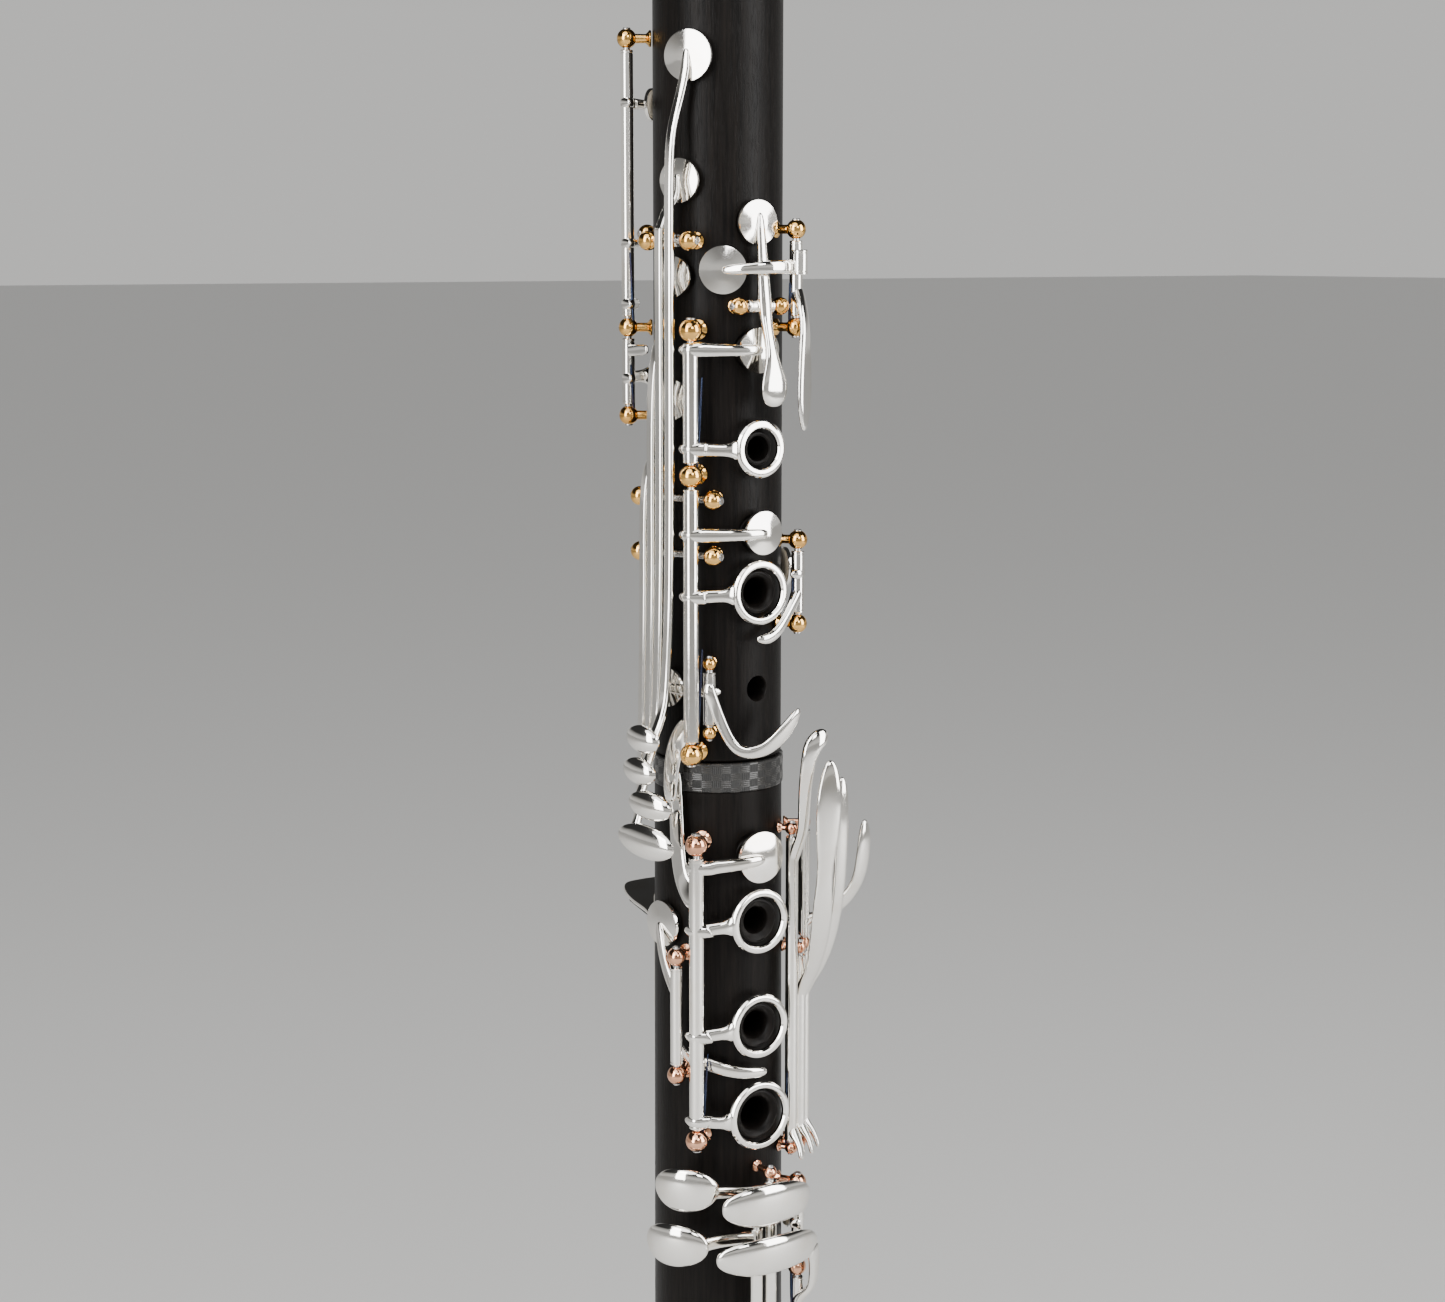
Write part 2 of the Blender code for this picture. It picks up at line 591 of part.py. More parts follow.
def throat_keys():
    """The A key on its cross pivot and the G sharp key that reaches over it."""
    ends = cross_hinge("a_hinge", "gold", (-18.0, 16.0), 98.8, 3.6, 1.9)
    tube, bore, origin = cross_tube(ends, 0.5, 6.2, SLIM_TUBE_RADIUS)
    top = PAD_GAP + CUP_HEIGHT
    part("a_key", "silver", [
        tube,
        bar([(0, 117.0, top, 1.0, 0.6), (0, 110, top + 0.5, 1.1, 0.7), (0, 98.8, 3.8, 1.6, 1.1),
             (-0.5, 90, 7.2, 1.5, 0.8), (1.0, 84, 7.4, 3.4, 0.9), (1.5, 79.6, 7.2, 3.0, 0.9),
             (1.5, 77.4, 7.0, 1.2, 0.6)]),
        pad_cup(0.0, 116.3, 4.75),
    ], [bore], origin)
    posts = (114.9, 94.3)
    middle = sum(posts) / 2
    hinge("g_sharp_hinge", "gold", 25.5, posts, SMALL_BALL_RADIUS)
    span = between(posts[1], posts[0], SMALL_BALL_RADIUS)
    tube, bore, origin = upright_tube(25.5, *span, middle, SLIM_TUBE_RADIUS)
    part("g_sharp_key", "silver", [
        tube,
        bar([(25.5, 107, 5.8, 1.5, 0.9), (12, 107, 6.9, 1.4, 0.8), (-3, 107, 6.8, 1.2, 0.7),
             (-16, 106.6, 5.0, 1.1, 0.7), (-28, 106.4, top, 1.0, 0.6)]),
        pad_cup(-29.0, 106.4, 5.1),
        rod(at(17, 105.5, 8.6), at(17, 110.5, 8.6), 1.7),
        bar([(25.5, 101, 5.6, 1.4, 1.0), (20.5, 97.5, 9.0, 1.3, 0.8), (18.5, 90, 9.6, 1.9, 0.7),
             (19, 79, 9.4, 2.2, 0.7), (19.5, 72.5, 9.2, 0.8, 0.5)]),
    ], [bore], origin)


def upper_sliver_key():
    """The sliver between the second and third fingers, on its own short hinge."""
    posts = (48.4, 30.0)
    hinge("upper_sliver_hinge", "gold", 33.0, posts, SMALL_BALL_RADIUS, 5.0)
    span = between(posts[1], posts[0], SMALL_BALL_RADIUS)
    tube, bore, origin = upright_tube(33.0, *span, sum(posts) / 2, SLIM_TUBE_RADIUS, 5.0)
    part("upper_sliver_key", "silver", [
        tube,
        bar([(33, 36.8, 5.0, 1.2, 0.9), (25, 34.2, 4.8, 1.1, 0.8), (16, 29.8, 4.4, 1.2, 0.7),
             (5, 27.6, 4.0, 1.2, 0.7), (-5, 27.8, 3.8, 0.7, 0.5)]),
        arc_arm((33, 41.0, 5.0), (74, 41.0, PAD_GAP + CUP_HEIGHT), (1.3, 1.0), 0.7, 4),
        pad_cup(75.0, 41.0, 4.4),
    ], [bore], origin)


def c_sharp_key():
    """The C sharp key: its spoon curls under the third finger hole, its pad is round the side."""
    posts = (22.6, 7.4)
    lift = 3.3
    hinge("c_sharp_hinge", "gold", -39.0, posts, 1.5, lift)
    span = between(posts[1], posts[0], 1.5)
    tube, bore, origin = upright_tube(-39.0, *span, sum(posts) / 2, SLIM_TUBE_RADIUS, lift)
    part("c_sharp_key", "silver", [
        tube,
        bar([(-39, 16.5, 3.6, 1.2, 0.9), (-32, 11.0, 4.2, 1.2, 0.8), (-25, 5.6, 5.2, 1.3, 0.8),
             (-14, 3.4, 6.2, 1.4, 0.8), (-2, 4.4, 7.4, 1.5, 0.8), (8, 8.2, 8.8, 1.9, 0.8),
             (15, 12.6, 10.0, 1.0, 0.5)]),
        arc_arm((-39, 16.5, 2.6), (-76, 16.5, PAD_GAP + CUP_HEIGHT - 0.6), (1.3, 1.1), 0.55, 4),
        pad_cup(-77.0, 16.5, 4.3),
    ], [bore], origin)


TRILL_PIVOT = 112.5
THIRD_PIVOT = 58.0
FOURTH_PIVOT = 46.0
SIDE_TOUCH_LIFT, SIDE_TOUCH_RISE, SIDE_TOUCH_TILT = 11.2, 2.2, -8.0


def side_lever(lane, pivot, pivot_lift, pad, leave, stalk, touch_height):
    """The long lever of a side key, from its pad over its pivot down to its touch."""
    pad_angle, pad_height = pad
    top = PAD_GAP + CUP_HEIGHT
    saddle = rod(at(lane, pivot, pivot_lift), at(lane, pivot, LEVER_LIFT), 0.95, BAR_SIDES)
    lever = bar([
        (pad_angle, pad_height + 1.0, top, 1.0, 0.6),
        (pad_angle, pad_height - 4.0, top + 0.6, 1.0, 0.6),
        (lane, leave + 5.5, top + 1.2, 0.9, 0.7),
        (lane, leave, LEVER_LIFT, 0.9, 0.7),
        (lane, pivot, LEVER_LIFT, 0.95, 0.8),
        (lane, touch_height + 7.5, LEVER_LIFT, 0.9, 0.8),
        (stalk, touch_height + 2.6, LEVER_LIFT + 2.2, 0.9, 0.8),
        (stalk, touch_height - 0.6, SIDE_TOUCH_LIFT + 0.4, 1.1, 0.7),
    ])
    return [saddle, lever]


def lane_share(first, last, angle):
    """How far along a cross rod the plane at an angle round the bore meets it."""
    turn = radians(angle)
    normal = Vector((cos(turn), sin(turn), 0.0))
    return normal.dot(first) / normal.dot(first - last)


def side_keys():
    """Four side keys for the right first finger, their levers in lanes side by side."""
    trill_ends = cross_hinge("trill_hinge", "gold", (-84.0, -51.5), TRILL_PIVOT, 5.0)
    third_ends = cross_hinge("third_side_hinge", "gold", (-98.0, -36.0), THIRD_PIVOT, 4.6)
    fourth_ends = cross_hinge("fourth_side_hinge", "gold", (-98.0, -36.0), FOURTH_PIVOT, 4.6)
    # rod, pivot, lane, pad place and radius, where the lever dips, stalk, touch place and half sizes
    table = (
        (trill_ends, TRILL_PIVOT, -62.5, (-56.5, 150.6), 5.35, 133.0, -64.5, (-71.8, 6.6), 4.5, 3.0),
        (trill_ends, TRILL_PIVOT, -69.5, (-64.4, 125.0), 4.7, 114.0, -69.5, (-73.8, -0.5), 4.6, 2.9),
        (third_ends, THIRD_PIVOT, -76.5, (-70.0, 105.0), 4.3, 86.0, -75.5, (-67.4, -7.8), 5.6, 3.1),
        (fourth_ends, FOURTH_PIVOT, -83.5, (-71.0, 79.0), 4.3, 62.0, -81.0, (-69.8, -15.9), 7.6, 3.7),
    )
    for i, (ends, pivot, lane, pad, radius, leave, stalk, touch, around, up) in enumerate(table):
        tube, bore, origin = cross_tube(ends, lane_share(*ends, lane), 1.9, SLIM_TUBE_RADIUS)
        lift = hypot(origin.x, origin.y) - UPPER_RADIUS
        shapes = [tube] + side_lever(lane, pivot, lift, pad, leave, stalk, touch[1])
        shapes.append(pad_cup(*pad, radius))
        shapes.append(dome(*touch, SIDE_TOUCH_LIFT, around, up, SIDE_TOUCH_RISE, SIDE_TOUCH_TILT))
        part(f"side_key_{i + 1}", "silver", shapes, [bore], origin)


# ---------------------------------------------------------------- back of the upper joint

BACK_HINGE = -118.0
BACK_POSTS = (155.0, 94.0, 75.0)


def back_keys():
    """The vent key and thumb ring on the long back rod, and the register lever."""
    hinge("back_hinge", "gold", BACK_HINGE, BACK_POSTS, SMALL_BALL_RADIUS)
    middle = (min(BACK_POSTS) + max(BACK_POSTS)) / 2
    top = PAD_GAP + CUP_HEIGHT
    span = between(BACK_POSTS[1], BACK_POSTS[0], SMALL_BALL_RADIUS)
    tube, bore, origin = upright_tube(BACK_HINGE, *span, middle, SLIM_TUBE_RADIUS)
    part("vent_key", "silver", [
        tube,
        arc_arm((BACK_HINGE, 141.6, HINGE_LIFT), (-146, 141.6, top), (1.3, 1.0), 0.7, 3),
        pad_cup(-147, 141.6, 3.6),
        arc_arm((BACK_HINGE, 112.0, HINGE_LIFT), (-141, 112.0, 3.8), (1.2, 0.8), 0.7, 2),
        arc_arm((BACK_HINGE, 99.0, HINGE_LIFT), (-140, 99.0, 4.4), (1.6, 1.2), 0.9, 2),
    ], [bore], origin)
    span = between(BACK_POSTS[2], BACK_POSTS[1], SMALL_BALL_RADIUS)
    tube, bore, origin = upright_tube(BACK_HINGE, *span, middle, SLIM_TUBE_RADIUS)
    part("thumb_ring_key", "silver", [
        tube,
        arc_arm((BACK_HINGE, 83.0, HINGE_LIFT), beside(-180.0, 83.0, RING_LIFT + 0.65, 6.2),
                (1.4, 1.3), 0.7, 3),
        key_ring(180.0, 83.0, 5.2, 7.0),
        bar([(BACK_HINGE, 89.0, 5.2, 1.2, 0.8), (-106, 89.2, 3.6, 1.2, 0.6), (-94, 89.5, 3.2, 1.1, 0.6)]),
    ], [bore], origin)
    bush_outer = THUMB_HOLE[2] - CLEARANCE - 0.1
    profile = [(2.3, -4.5), (bush_outer, -4.5), (bush_outer, CLEARANCE), (4.3, CLEARANCE),
               (4.3, CHIMNEY_LIFT), (2.3, CHIMNEY_LIFT)]
    part("thumb_bush", "silver", [lathe(profile, HOLE_SIDES, seat(180.0, 83.0, 0))])
    ends = cross_hinge("register_hinge", "gold", (156.0, 204.0), 114.0, 4.6)
    tube, bore, origin = cross_tube(ends, 0.5, 8.0, SLIM_TUBE_RADIUS)
    part("register_key", "silver", [
        tube,
        bar([(180, 142.0, top, 1.1, 0.6), (180, 130, top + 1.2, 1.2, 0.8), (180, 114, 4.6, 1.9, 1.1),
             (180, 106, 5.2, 1.8, 0.9), (180, 98, 5.4, 3.6, 0.9), (180, 93.6, 5.2, 3.0, 0.8),
             (180, 91.6, 5.2, 1.4, 0.6)]),
        pad_cup(180.0, 141.0, 4.0),
    ], [bore], origin)


def thumb_rest():
    """The hook behind the lower joint that carries the instrument's weight."""
    frame = seat(180.0, -48.0, CLEARANCE)
    plate = block((-7.0, -17.0, 0.6), (7.0, 17.0, 2.4))
    sections = (
        ((-8, 7, 1.2), (8, 7, 1.2), (8, 10, 1.2), (-8, 10, 1.2)),
        ((-8.5, 8, 9), (8.5, 8, 9), (8.5, 10.6, 9), (-8.5, 10.6, 9)),
        ((-7, 10, 17), (7, 10, 17), (7, 12.2, 17), (-7, 12.2, 17)),
    )
    hook = loft([[Vector(point) for point in section] for section in sections])
    for bm in (plate, hook):
        bm.transform(frame)
    part("thumb_rest", "silver", [plate, hook])


# ---------------------------------------------------------------- keys of the lower joint

LOWER_HINGE = -46.5
LOWER_POSTS = (-17.0, -84.0)


def lower_ring_key():
    """Three finger rings and a pad on one tube, with the lever that bridges to the upper joint."""
    hinge("lower_hinge", "rose", LOWER_HINGE, LOWER_POSTS)
    middle = sum(LOWER_POSTS) / 2
    tube, bore, origin = upright_tube(LOWER_HINGE, *between(LOWER_POSTS[1], LOWER_POSTS[0]), middle)
    top = OPEN_PAD + CUP_HEIGHT
    shapes = [
        tube,
        arc_arm((LOWER_HINGE, -22.1, HINGE_LIFT), (0.4, -21.0, top + 0.2), steps=4),
        pad_cup(0.7, -20.9, 5.75, OPEN_PAD),
        bar([(LOWER_HINGE - 0.5, -29.0, 4.6, 2.0, 0.7), (-56, -27.5, 3.4, 2.0, 0.5),
             (-64, -22.0, 2.4, 1.8, 0.5), (-67, -12.0, 2.0, 1.7, 0.45), (-68, -1.5, 2.0, 1.5, 0.45)]),
    ]
    for height, inner, outer in ((-35.4, 5.6, 7.3), (-59.3, 5.6, 7.3), (-79.9, 6.2, 7.8)):
        start = max(height - 0.8, LOWER_POSTS[1] + BALL_RADIUS + CLEARANCE + 1.7)
        end = beside(-0.5, height, RING_LIFT + 0.65, -outer + 0.8)
        shapes.append(arc_arm((LOWER_HINGE, start, HINGE_LIFT), end, (1.6, 1.6)))
        shapes.append(key_ring(-0.5, height, inner, outer))
    part("lower_ring_key", "silver", shapes, [bore], origin)


def lower_sliver_key():
    """The long sliver between the second and third rings, passing under the ring key's tube."""
    posts = (-42.6, -69.6)
    hinge("lower_sliver_hinge", "rose", -61.0, posts, SMALL_BALL_RADIUS, 5.0)
    span = between(posts[1], posts[0], SMALL_BALL_RADIUS)
    tube, bore, origin = upright_tube(-61.0, *span, sum(posts) / 2, SLIM_TUBE_RADIUS, 5.0)
    part("lower_sliver_key", "silver", [
        tube,
        bar([(-61, -63.0, 4.8, 1.2, 0.8), (-54, -66.5, 2.6, 1.3, 0.6), (-44, -67.0, 2.2, 1.4, 0.6),
             (-30, -68.4, 2.8, 1.4, 0.7), (-12, -69.6, 3.0, 1.3, 0.7), (6, -69.9, 3.0, 0.9, 0.5)]),
        bar([(-61, -50.5, 5.0, 1.2, 0.8), (-70, -46.5, 4.4, 1.1, 0.7), (-78, -40.5, 3.6, 1.1, 0.7),
             (-83, -37.2, PAD_GAP + CUP_HEIGHT, 1.0, 0.6)]),
        pad_cup(-84.0, -37.0, 5.15),
    ], [bore], origin)


LITTLE_TOP = -92.5
EB_HINGE, CS_HINGE, RIGHT_HINGE = -8.0, 2.5, 30.0
EB_POSTS = (LITTLE_TOP - 10.5, EB_PAD - 8.0)
CS_POSTS = (LITTLE_TOP, CS_PAD - 6.0)
RIGHT_POSTS = (LITTLE_TOP - 5.0, -117.6, FC_PAD - 6.0)
LITTLE_BALL = 1.5
LEAF_SIDES = 8


def low_e_key():
    """The low E key: lower left touch, the longest tube, the lowest pad."""
    hinge("e_hinge", "rose", EB_HINGE, EB_POSTS, LITTLE_BALL)
    span = between(EB_POSTS[1], EB_POSTS[0], LITTLE_BALL)
    tube, bore, origin = upright_tube(EB_HINGE, *span, sum(EB_POSTS) / 2, SLIM_TUBE_RADIUS)
    open_top = OPEN_PAD + CUP_HEIGHT
    part("low_e_key", "silver", [
        tube,
        bar([(EB_HINGE, -107.0, 5.6, 1.3, 0.9), (-20, -107.0, 5.2, 1.4, 0.8), (-34, -107.0, 6.0, 1.5, 0.8),
             (-44, -107.0, 9.6, 1.6, 0.8)]),
        bar([(-38.5, -107.0, 9.6, 1.6, 0.8), (-43, -107.0, 10.0, 3.6, 1.1), (-52, -107.0, 10.4, 4.7, 1.3),
             (-62, -107.0, 10.4, 4.6, 1.3), (-70, -107.0, 9.6, 3.4, 1.1),
             (-74, -107.0, 9.0, 1.6, 0.7)], LEAF_SIDES),
        arc_arm((EB_HINGE, EB_PAD + 1, HINGE_LIFT), (-38, EB_PAD, open_top + 0.2), (1.6, 1.3), 0.9, 3),
        pad_cup(-40.0, EB_PAD, 8.6, OPEN_PAD),
    ], [bore], origin)


def f_sharp_key():
    """The low F sharp key: upper left touch, its closed pad on the far side of the F key's tube."""
    hinge("f_sharp_hinge", "rose", CS_HINGE, CS_POSTS, LITTLE_BALL)
    span = between(CS_POSTS[1], CS_POSTS[0], LITTLE_BALL)
    tube, bore, origin = upright_tube(CS_HINGE, *span, sum(CS_POSTS) / 2, SLIM_TUBE_RADIUS)
    part("f_sharp_key", "silver", [
        tube,
        bar([(CS_HINGE, -96.5, 5.6, 1.2, 0.8), (-14, -96.5, 5.0, 1.2, 0.7), (-28, -96.0, 5.0, 1.3, 0.7),
             (-41, -95.2, 8.2, 1.4, 0.8)]),
        bar([(-33, -94.5, 7.4, 1.5, 0.7), (-38, -94.5, 8.2, 3.6, 1.0), (-47, -94.5, 9.0, 4.8, 1.2),
             (-58, -94.5, 9.0, 4.6, 1.2), (-66, -94.5, 8.6, 3.4, 1.0),
             (-70, -94.5, 8.0, 1.6, 0.7)], LEAF_SIDES),
        arc_arm((CS_HINGE, CS_PAD, HINGE_LIFT), (60, CS_PAD, PAD_GAP + CUP_HEIGHT + 0.2),
                (1.4, 1.2), 0.8, 5, 4.6),
        pad_cup(62.0, CS_PAD, 6.0),
    ], [bore], origin)


def right_hinge_keys():
    """The A flat and low F keys, one above the other on the right-hand rod."""
    hinge("f_and_a_flat_hinge", "rose", RIGHT_HINGE, RIGHT_POSTS, SMALL_BALL_RADIUS)
    middle = (max(RIGHT_POSTS) + min(RIGHT_POSTS)) / 2
    span = between(RIGHT_POSTS[1], RIGHT_POSTS[0], SMALL_BALL_RADIUS)
    tube, bore, origin = upright_tube(RIGHT_HINGE, *span, middle, SLIM_TUBE_RADIUS)
    part("a_flat_key", "silver", [
        tube,
        bar([(RIGHT_HINGE, -102.5, 5.9, 1.6, 1.0), (27.5, -101.0, 8.4, 2.0, 0.9), (19, -99.0, 9.4, 3.4, 0.9),
             (6, -98.0, 9.8, 4.3, 1.0), (-10, -98.0, 10.2, 4.5, 1.1), (-24, -98.0, 10.4, 3.8, 1.0),
             (-31, -98.0, 10.4, 2.0, 0.7)], LEAF_SIDES),
        arc_arm((RIGHT_HINGE, -107.0, HINGE_LIFT), (66, -107.0, PAD_GAP + CUP_HEIGHT), (1.4, 1.1), 0.8, 4),
        pad_cup(68.0, -107.0, 6.0),
    ], [bore], origin)

    open_top = OPEN_PAD + CUP_HEIGHT
    span = between(RIGHT_POSTS[2], RIGHT_POSTS[1], SMALL_BALL_RADIUS)
    tube, bore, origin = upright_tube(RIGHT_HINGE, *span, middle, SLIM_TUBE_RADIUS)
    part("low_f_key", "silver", [
        tube,
        bar([(RIGHT_HINGE, -125.0, 5.8, 1.6, 1.0), (30.5, -122.5, 9.2, 1.7, 0.8),
             (29.5, -117.0, 10.0, 1.8, 0.8), (27, -111.0, 10.2, 2.2, 0.8)]),
        bar([(31, -111.5, 9.8, 1.6, 0.8), (24, -110.5, 10.0, 3.2, 0.9), (12, -109.5, 10.6, 3.9, 1.0),
             (-4, -109.3, 11.2, 4.1, 1.1), (-20, -109.3, 11.6, 3.9, 1.1), (-30, -109.3, 11.6, 2.8, 0.9),
             (-34, -109.3, 11.4, 1.4, 0.6)], LEAF_SIDES),
        arc_arm((RIGHT_HINGE, FC_PAD + 1, HINGE_LIFT + 0.4), (-38, FC_PAD, open_top + 0.2),
                (1.7, 1.3), 0.9, 6, 5.4),
        pad_cup(-40.0, FC_PAD, 8.2, OPEN_PAD),
    ], [bore], origin)


LEVER_FOOT = LITTLE_TOP + 2.5
LEVER_ANGLES = (33.0, 44.0, 55.0)
LEVER_LIFTS = (3.6, 4.4, 5.0)
LEVER_MIDDLE_POST = -44.0
TOUCH_FACING = -45.0
LEVER_TOP_POST = -16.0


def lever_tube(i, low, high):
    """A left lever's tube between two posts on the rod of the same number."""
    span = between(low, high, LITTLE_BALL)
    middle = (LEVER_FOOT + (LEVER_MIDDLE_POST if i == 1 else LEVER_TOP_POST)) / 2
    return upright_tube(LEVER_ANGLES[i], *span, middle, SLIM_TUBE_RADIUS, LEVER_LIFTS[i])


def lever_claw(i):
    """The foot at the end of a left lever's tube, which reaches for the right hand's key."""
    angle, lift = LEVER_ANGLES[i], LEVER_LIFTS[i]
    foot = LEVER_FOOT + LITTLE_BALL + 2.2
    return bar([(angle, foot, lift + 0.2, 1.3, 0.8), (angle - 2, foot - 2.5, lift + 2.6, 1.3, 0.7),
                (angle - 6, foot - 5.5, lift + 3.6, 1.1, 0.6)])


def left_levers():
    """The left little finger's four levers, hinged down the side of the lower joint."""
    post_sets = ((LEVER_TOP_POST, LEVER_FOOT), (LEVER_MIDDLE_POST, LEVER_FOOT),
                 (LEVER_TOP_POST, LEVER_MIDDLE_POST, LEVER_FOOT))
    for i, posts in enumerate(post_sets):
        hinge(f"left_lever_hinge_{i + 1}", "rose", LEVER_ANGLES[i], posts, LITTLE_BALL, LEVER_LIFTS[i])

    tube, bore, origin = lever_tube(0, LEVER_FOOT, LEVER_TOP_POST)
    part("left_f_sharp_lever", "silver", [
        tube,
        bar([(33, -22.0, 3.8, 1.3, 0.9), (30, -16.5, 7.0, 1.2, 0.8), (25, -8.0, 8.2, 1.3, 0.8),
             (23.5, 0.0, 9.6, 1.5, 0.9), (25.5, 4.0, 10.6, 2.0, 1.0), (31, 5.6, 12.0, 1.5, 0.8)],
            facing=TOUCH_FACING),
        lever_claw(0),
    ], [bore], origin)

    tube, bore, origin = lever_tube(1, LEVER_FOOT, LEVER_MIDDLE_POST)
    part("left_e_lever", "silver", [
        tube,
        bar([(44, -54.0, 4.6, 1.4, 1.0), (40, -49.0, 7.6, 1.7, 0.9), (33.5, -42.0, 10.0, 2.1, 0.8),
             (29.5, -34.0, 11.6, 2.3, 0.8), (28, -25.0, 12.6, 1.7, 0.8), (27.2, -19.0, 13.2, 2.2, 0.8),
             (27, -10.0, 13.8, 2.8, 0.8), (27.5, -3.0, 14.0, 2.3, 0.8), (28, 0.6, 14.0, 0.9, 0.5)],
            LEAF_SIDES, TOUCH_FACING),
        lever_claw(1),
    ], [bore], origin)

    tube, bore, origin = lever_tube(2, LEVER_FOOT, LEVER_MIDDLE_POST)
    part("left_f_lever", "silver", [
        tube,
        bar([(55, -54.0, 5.2, 1.4, 1.0), (52.5, -49.5, 8.6, 1.3, 0.8), (47.5, -40.0, 11.8, 1.4, 0.8),
             (44, -31.0, 13.2, 1.5, 0.8), (42, -20.0, 14.0, 1.5, 0.8), (42, -9.0, 14.2, 1.5, 0.8),
             (42, -4.4, 14.2, 0.8, 0.5)], facing=TOUCH_FACING),
        lever_claw(2),
    ], [bore], origin)

    tube, bore, origin = lever_tube(2, LEVER_MIDDLE_POST, LEVER_TOP_POST)
    part("left_a_flat_lever", "silver", [
        tube,
        bar([(55, -39.0, 5.2, 1.4, 1.0), (56.5, -37.5, 9.5, 1.5, 0.8), (56.5, -35.0, 13.5, 1.7, 0.8),
             (56, -31.0, 16.8, 1.6, 0.8), (55.5, -26.0, 18.2, 1.9, 0.8), (55, -19.0, 18.6, 1.9, 0.8),
             (55, -15.6, 18.6, 1.0, 0.5)], facing=TOUCH_FACING),
        bar([(56, -38.8, 5.4, 1.3, 0.8), (67, -44.5, 6.0, 1.0, 0.7), (67, -70.0, 5.6, 1.0, 0.7),
             (67, -91.0, 5.6, 0.9, 0.7)]),
    ], [bore], origin)


clear_scene()
ROOT = bpy.data.objects.new("clarinet", None)
bpy.context.scene.collection.objects.link(ROOT)
bell()
lower_joint()
upper_joint()
barrel()
mouthpiece()
reed()
ligature()
upper_ring_keys()
throat_keys()
upper_sliver_key()
c_sharp_key()
side_keys()
back_keys()
thumb_rest()
lower_ring_key()
lower_sliver_key()
low_e_key()
f_sharp_key()
right_hinge_keys()
left_levers()
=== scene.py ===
"""The looks of a soprano clarinet: blackwood, plated keywork, cane and cork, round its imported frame."""

from math import atan2, cos, degrees, hypot, pi, radians, sin

import bpy
from mathutils import Matrix, Vector


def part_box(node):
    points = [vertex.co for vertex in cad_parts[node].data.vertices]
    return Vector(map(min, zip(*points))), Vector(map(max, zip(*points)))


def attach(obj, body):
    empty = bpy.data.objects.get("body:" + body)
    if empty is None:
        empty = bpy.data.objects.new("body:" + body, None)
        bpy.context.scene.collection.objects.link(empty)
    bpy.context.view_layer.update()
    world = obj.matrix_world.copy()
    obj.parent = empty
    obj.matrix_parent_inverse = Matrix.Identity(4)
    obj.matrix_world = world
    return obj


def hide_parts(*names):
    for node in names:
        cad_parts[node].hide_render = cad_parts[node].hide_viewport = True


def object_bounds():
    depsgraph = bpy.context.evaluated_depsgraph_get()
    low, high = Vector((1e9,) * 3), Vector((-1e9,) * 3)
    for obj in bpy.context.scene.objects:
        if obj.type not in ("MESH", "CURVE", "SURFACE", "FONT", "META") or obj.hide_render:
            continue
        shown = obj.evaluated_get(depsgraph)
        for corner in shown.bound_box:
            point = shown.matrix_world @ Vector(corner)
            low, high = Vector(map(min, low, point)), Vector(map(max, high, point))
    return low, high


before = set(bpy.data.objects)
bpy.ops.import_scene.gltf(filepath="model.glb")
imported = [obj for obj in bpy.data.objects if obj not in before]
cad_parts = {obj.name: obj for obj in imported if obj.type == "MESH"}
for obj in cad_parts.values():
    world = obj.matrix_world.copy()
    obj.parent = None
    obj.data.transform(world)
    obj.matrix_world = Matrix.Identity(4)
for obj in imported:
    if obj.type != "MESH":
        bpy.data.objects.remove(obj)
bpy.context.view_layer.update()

# Camera. It stands half a metre from the bore, to the left of the finger holes and a little above
# the line where the two joints meet, and looks at the middle of the keywork.
camera_side = Vector((cos(radians(-33.0)), sin(radians(-33.0)), 0.0))
camera_back = Vector((sin(radians(-33.0)) * cos(radians(9.2)), -cos(radians(-33.0)) * cos(radians(9.2)),
                      sin(radians(9.2))))
joint_line_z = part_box("lower_joint")[1].z
camera_aim = camera_side * 0.001 + Vector((0.0, 0.0, joint_line_z + 0.0226))
bpy.ops.object.camera_add(location=camera_aim + camera_back * 0.553)
camera = bpy.context.object
camera.rotation_euler = (-camera_back).to_track_quat("-Z", "Y").to_euler()
camera.data.lens = 62.03
camera.data.sensor_width = 36.0
camera.data.clip_start = 0.01
bpy.context.scene.camera = camera

# Stage. A wide pale floor under the bell and a plain sky, paler at the horizon than overhead, so that
# polished metal has something dark to show; a broad soft sun and three soft boxes that reach down low.
bpy.ops.mesh.primitive_plane_add(size=60.0, location=(0.0, 0.0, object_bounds()[0].z - 0.0004))
floor = bpy.context.object
floor.name = "floor"
floor_paint = bpy.data.materials.new("floor_paint")
floor_paint.use_nodes = True
floor_shader = floor_paint.node_tree.nodes["Principled BSDF"]
floor_shader.inputs["Base Color"].default_value = (0.66, 0.655, 0.64, 1.0)
floor_shader.inputs["Roughness"].default_value = 0.9
floor_shader.inputs["Specular IOR Level"].default_value = 0.1
floor.data.materials.append(floor_paint)
sky = bpy.data.worlds.new("sky")
sky.use_nodes = True
sky_nodes, sky_links = sky.node_tree.nodes, sky.node_tree.links
direction = sky_nodes.new("ShaderNodeTexCoord")
axes = sky_nodes.new("ShaderNodeSeparateXYZ")
sky_links.new(direction.outputs["Generated"], axes.inputs[0])
height_ramp = sky_nodes.new("ShaderNodeValToRGB")
height_ramp.color_ramp.elements[0].position = 0.09
height_ramp.color_ramp.elements[0].color = (0.60, 0.595, 0.58, 1.0)
height_ramp.color_ramp.elements[1].position = 0.36
height_ramp.color_ramp.elements[1].color = (0.03, 0.03, 0.03, 1.0)
sky_links.new(axes.outputs["Z"], height_ramp.inputs["Fac"])
